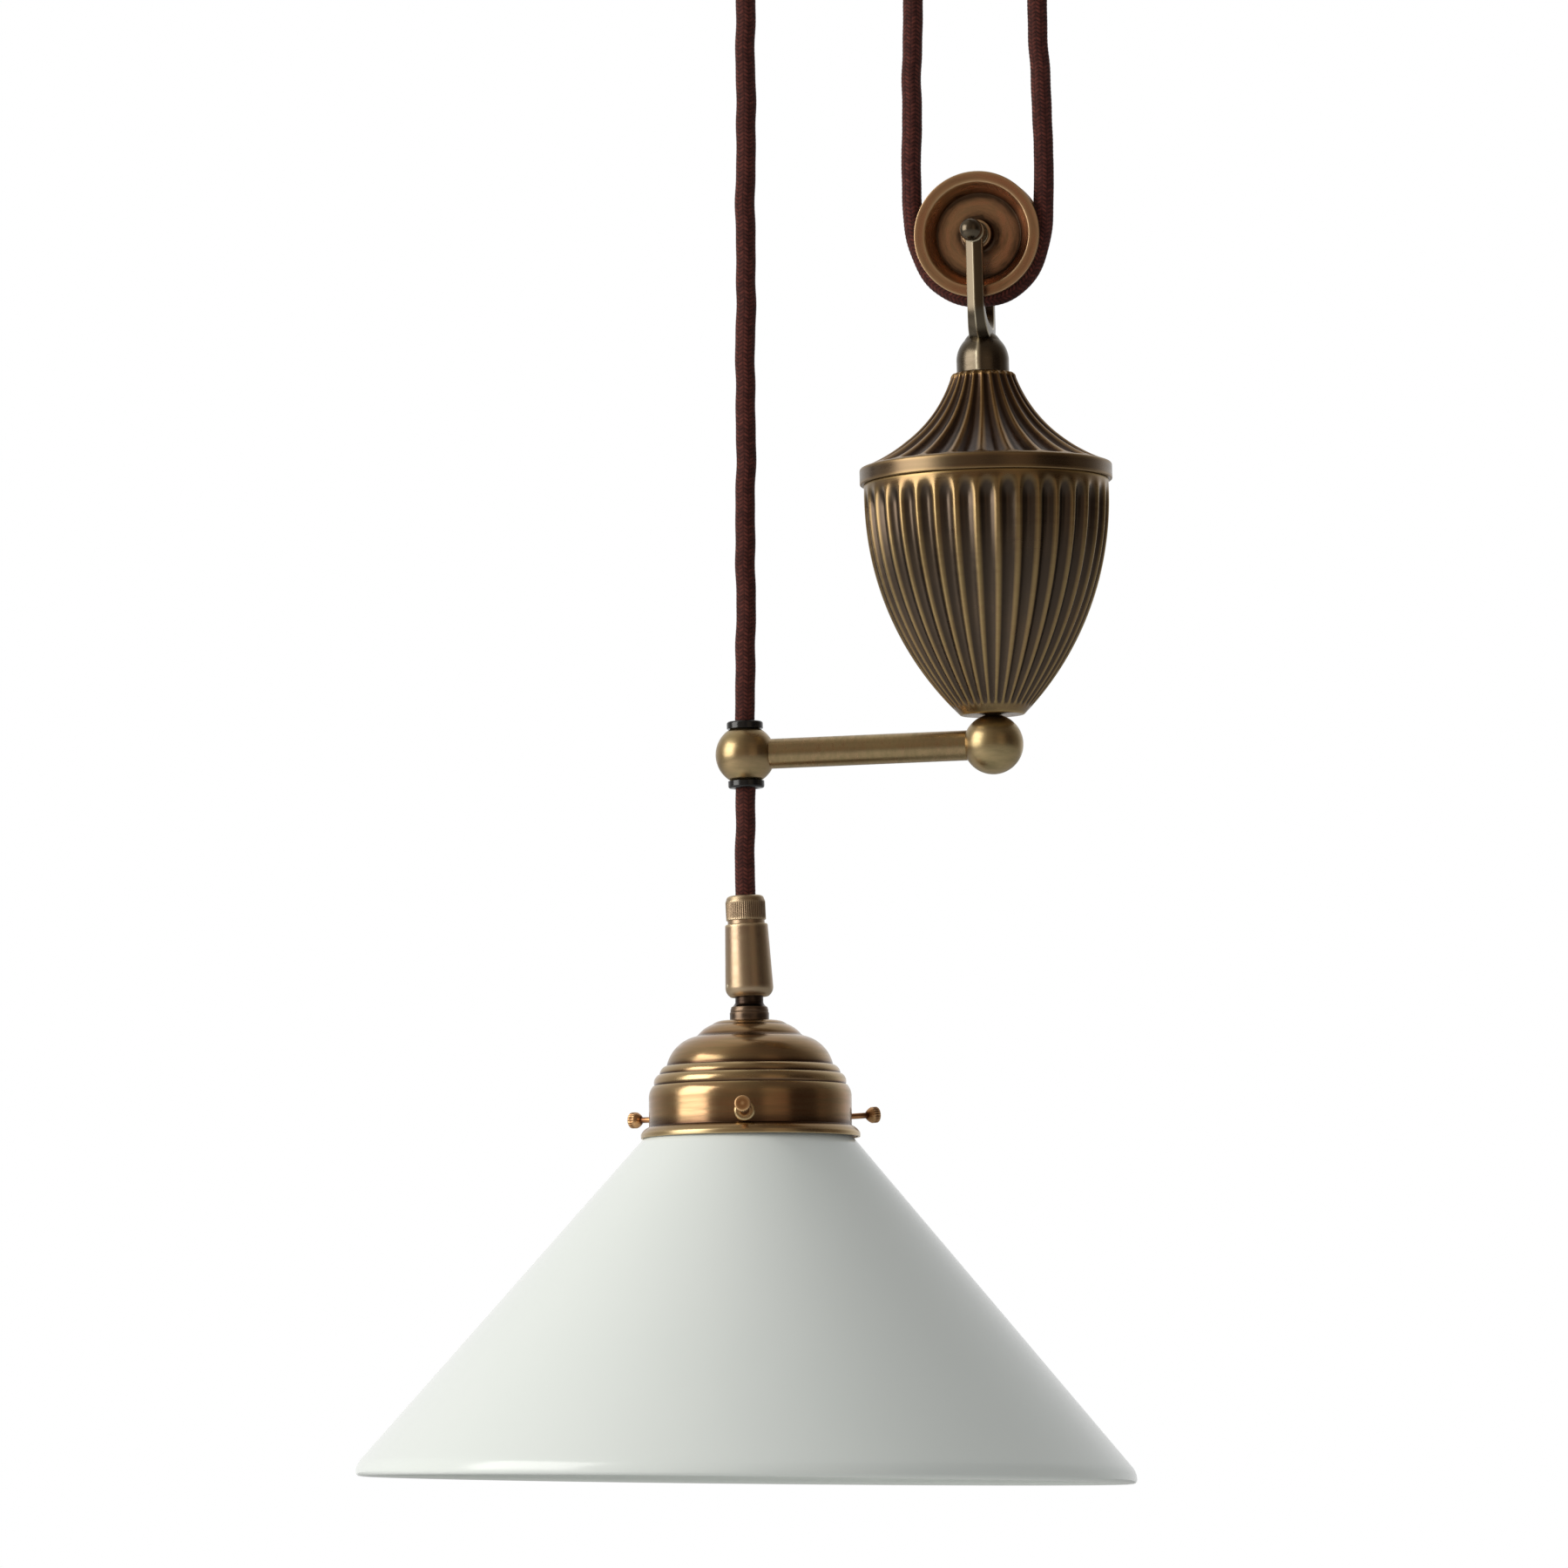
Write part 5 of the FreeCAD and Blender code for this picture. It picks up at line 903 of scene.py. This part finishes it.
CYLINDER_R, SCREW_LEVEL, GALLERY_LOW = 45.5, -59.8, -69.7
outside = [
    (5, -17.1), (12.6, -17.1), (16.8, -18.8, -7), (23.2, -23.4, -14), (24.2, -24.1), (37.4, -37.4, -16.9),
    (38.1, -37.4), (40.6, -41.3, -4.2), (41.3, -41.3), (42.9, -46.3, -4.2), (43.6, -46.3),
    (CYLINDER_R, -51.5, -8), (CYLINDER_R, -64.6), (49.2, -67.9, -7), (49.2, GALLERY_LOW),
]
inside = [(step[0] - 1, step[1] - 1) for step in outside]
inside[0], inside[-1] = (5, -18.1), (48.2, GALLERY_LOW)
bows = [()] + [tuple(-radius for radius in step[2:]) for step in outside[:0:-1]]
gallery_steps = outside + [step + bow for step, bow in zip(inside[::-1], bows)]
finished("gallery_spun", lathe("gallery", gallery_steps, columns=192, spacing=0.6, soft=0.25),
         aged_brass, shade, "gallery")
# each screw's node, its turn round the gallery and its tilt up in the loose thread, in degrees
SCREWS = (("thumb_screw_1", 8, 7.5), ("thumb_screw_2", 128, 4.2), ("thumb_screw_3", 248, 0.5))


def screw_seat(turn):
    """A place on the gallery's cylinder, with X pointing out of it."""
    spin = Matrix.Rotation(math.radians(turn - 90), 4, "Z")
    return Matrix.Translation((spin @ Vector((CYLINDER_R, 0, 0)) + Vector((0, 0, SCREW_LEVEL))) * MM) @ spin


bosses = []
for node, turn, tilt in SCREWS:
    bosses.append(lathe(node + "_boss", (
        (1.9, -0.6), (4.7, -0.6), (4.7, 0.7), (3.6, 1.8, 1.1), (2.2, 1.8), (1.9, 1.5),
    ), columns=64, spacing=0.3, soft=0.15))
    bosses[-1].transform(screw_seat(turn) @ LIE_DOWN)
finished("screw_bosses_turned", joined("screw_bosses", bosses), aged_brass, shade, "screw_bosses")

coppery = brass(
    "coppery_screw_brass", warm=shade_of(186, 132, 92), olive=shade_of(196, 148, 100), patina_and_shade_colour=shade_of(88, 52, 34),
    clean=shade_of(230, 190, 140), rough=0.3, marks_deep=0.004, grain_deep=0.001,
)
for node, turn, tilt in SCREWS:
    screw = lathe(node, (
        (0, -3.6), (1.3, -3.6), (1.3, 12.9), (3.65, 15.9, 7.3), (3.65, 18.4), (3.15, 18.9), (0, 18.9),
    ), columns=22 * 6, spacing=0.4, soft=0.2)
    screw = fluted(screw, coppery, {
        "Flutes": 22.0, "Depth per radius": 0.06, "Share of pitch": 0.9,
        "Upper end": 0.0186, "Upper round": 0.0003, "Lower end": 0.0157, "Lower round": 0.0003, "Crest round": 0.1,
        "Patina": 0.8, "Arch": 0.0,
    })
    lean = Matrix.Rotation(math.radians(tilt), 4, (0, -1, 0))
    finished(node + "_knurled", screw, coppery, shade @ screw_seat(turn) @ lean @ LIE_DOWN, node)

# ---- Glass ----
# Opal glass, pressed and fire polished: a lip that rests on the screws, a short neck, a straight
# cone and a rim that turns down. It hangs a little crooked on its three screws.

slope = math.radians(40.76)
GLASS_LEVEL, NECK_R, CONE_R, RIM_R = 57.4, 41.3, 46.9, 174.6
WALL, COVE, RIM_ROUND = 3.6, 6, 9
rim_x, cove_x = RIM_R - RIM_ROUND, NECK_R + COVE
lip = GLASS_LEVEL + GALLERY_LOW
cove_z = lip + ((CONE_R - cove_x) * math.cos(slope) + COVE) / math.sin(slope)
rim_z = lip + (CONE_R * math.cos(slope) - RIM_ROUND - rim_x * math.cos(slope)) / math.sin(slope)


def cove(reach):
    return cove_x - reach * math.cos(slope), cove_z - reach * math.sin(slope)


def rim(reach):
    return rim_x + reach * math.cos(slope), rim_z + reach * math.sin(slope)


glass_steps = (
    (37.7, 6.9), (37.7, cove_z), (*cove(COVE + WALL), COVE + WALL), rim(RIM_ROUND - WALL),
    (rim_x + RIM_ROUND - WALL, rim_z, WALL - RIM_ROUND), (rim_x + RIM_ROUND, rim_z, 1.81),
    (*rim(RIM_ROUND), RIM_ROUND), cove(COVE), (NECK_R, cove_z, -COVE), (NECK_R, 0), (43.2, 1.4), (43.2, 6.9),
)
opal, start = material("opal_glass")
place = start.node("ShaderNodeTexCoord", output=OBJECT_PLACE)
milk = noise(start, place, 9.0, 2.0)
waves = noise(start, place, 26.0, 1.0)
relief = start.node("ShaderNodeBump", None, {"Strength": 0.35, "Distance": 0.0006, "Height": waves})
surface(start, {
    "Base Color": mixed(milk, shade_of(228, 234, 229), shade_of(234, 238, 234)), "Roughness": 0.16 + milk * 0.05,
    "IOR": 1.5, "Normal": relief,
})
glass_place = shade @ place_at(0, -GLASS_LEVEL) @ Matrix.Rotation(math.radians(-1.2), 4, (0, -1, 0))
finished("glass_cone", lathe("glass_shade", glass_steps, columns=256, spacing=2.5, soft=0.6),
         opal, glass_place, "glass_shade")
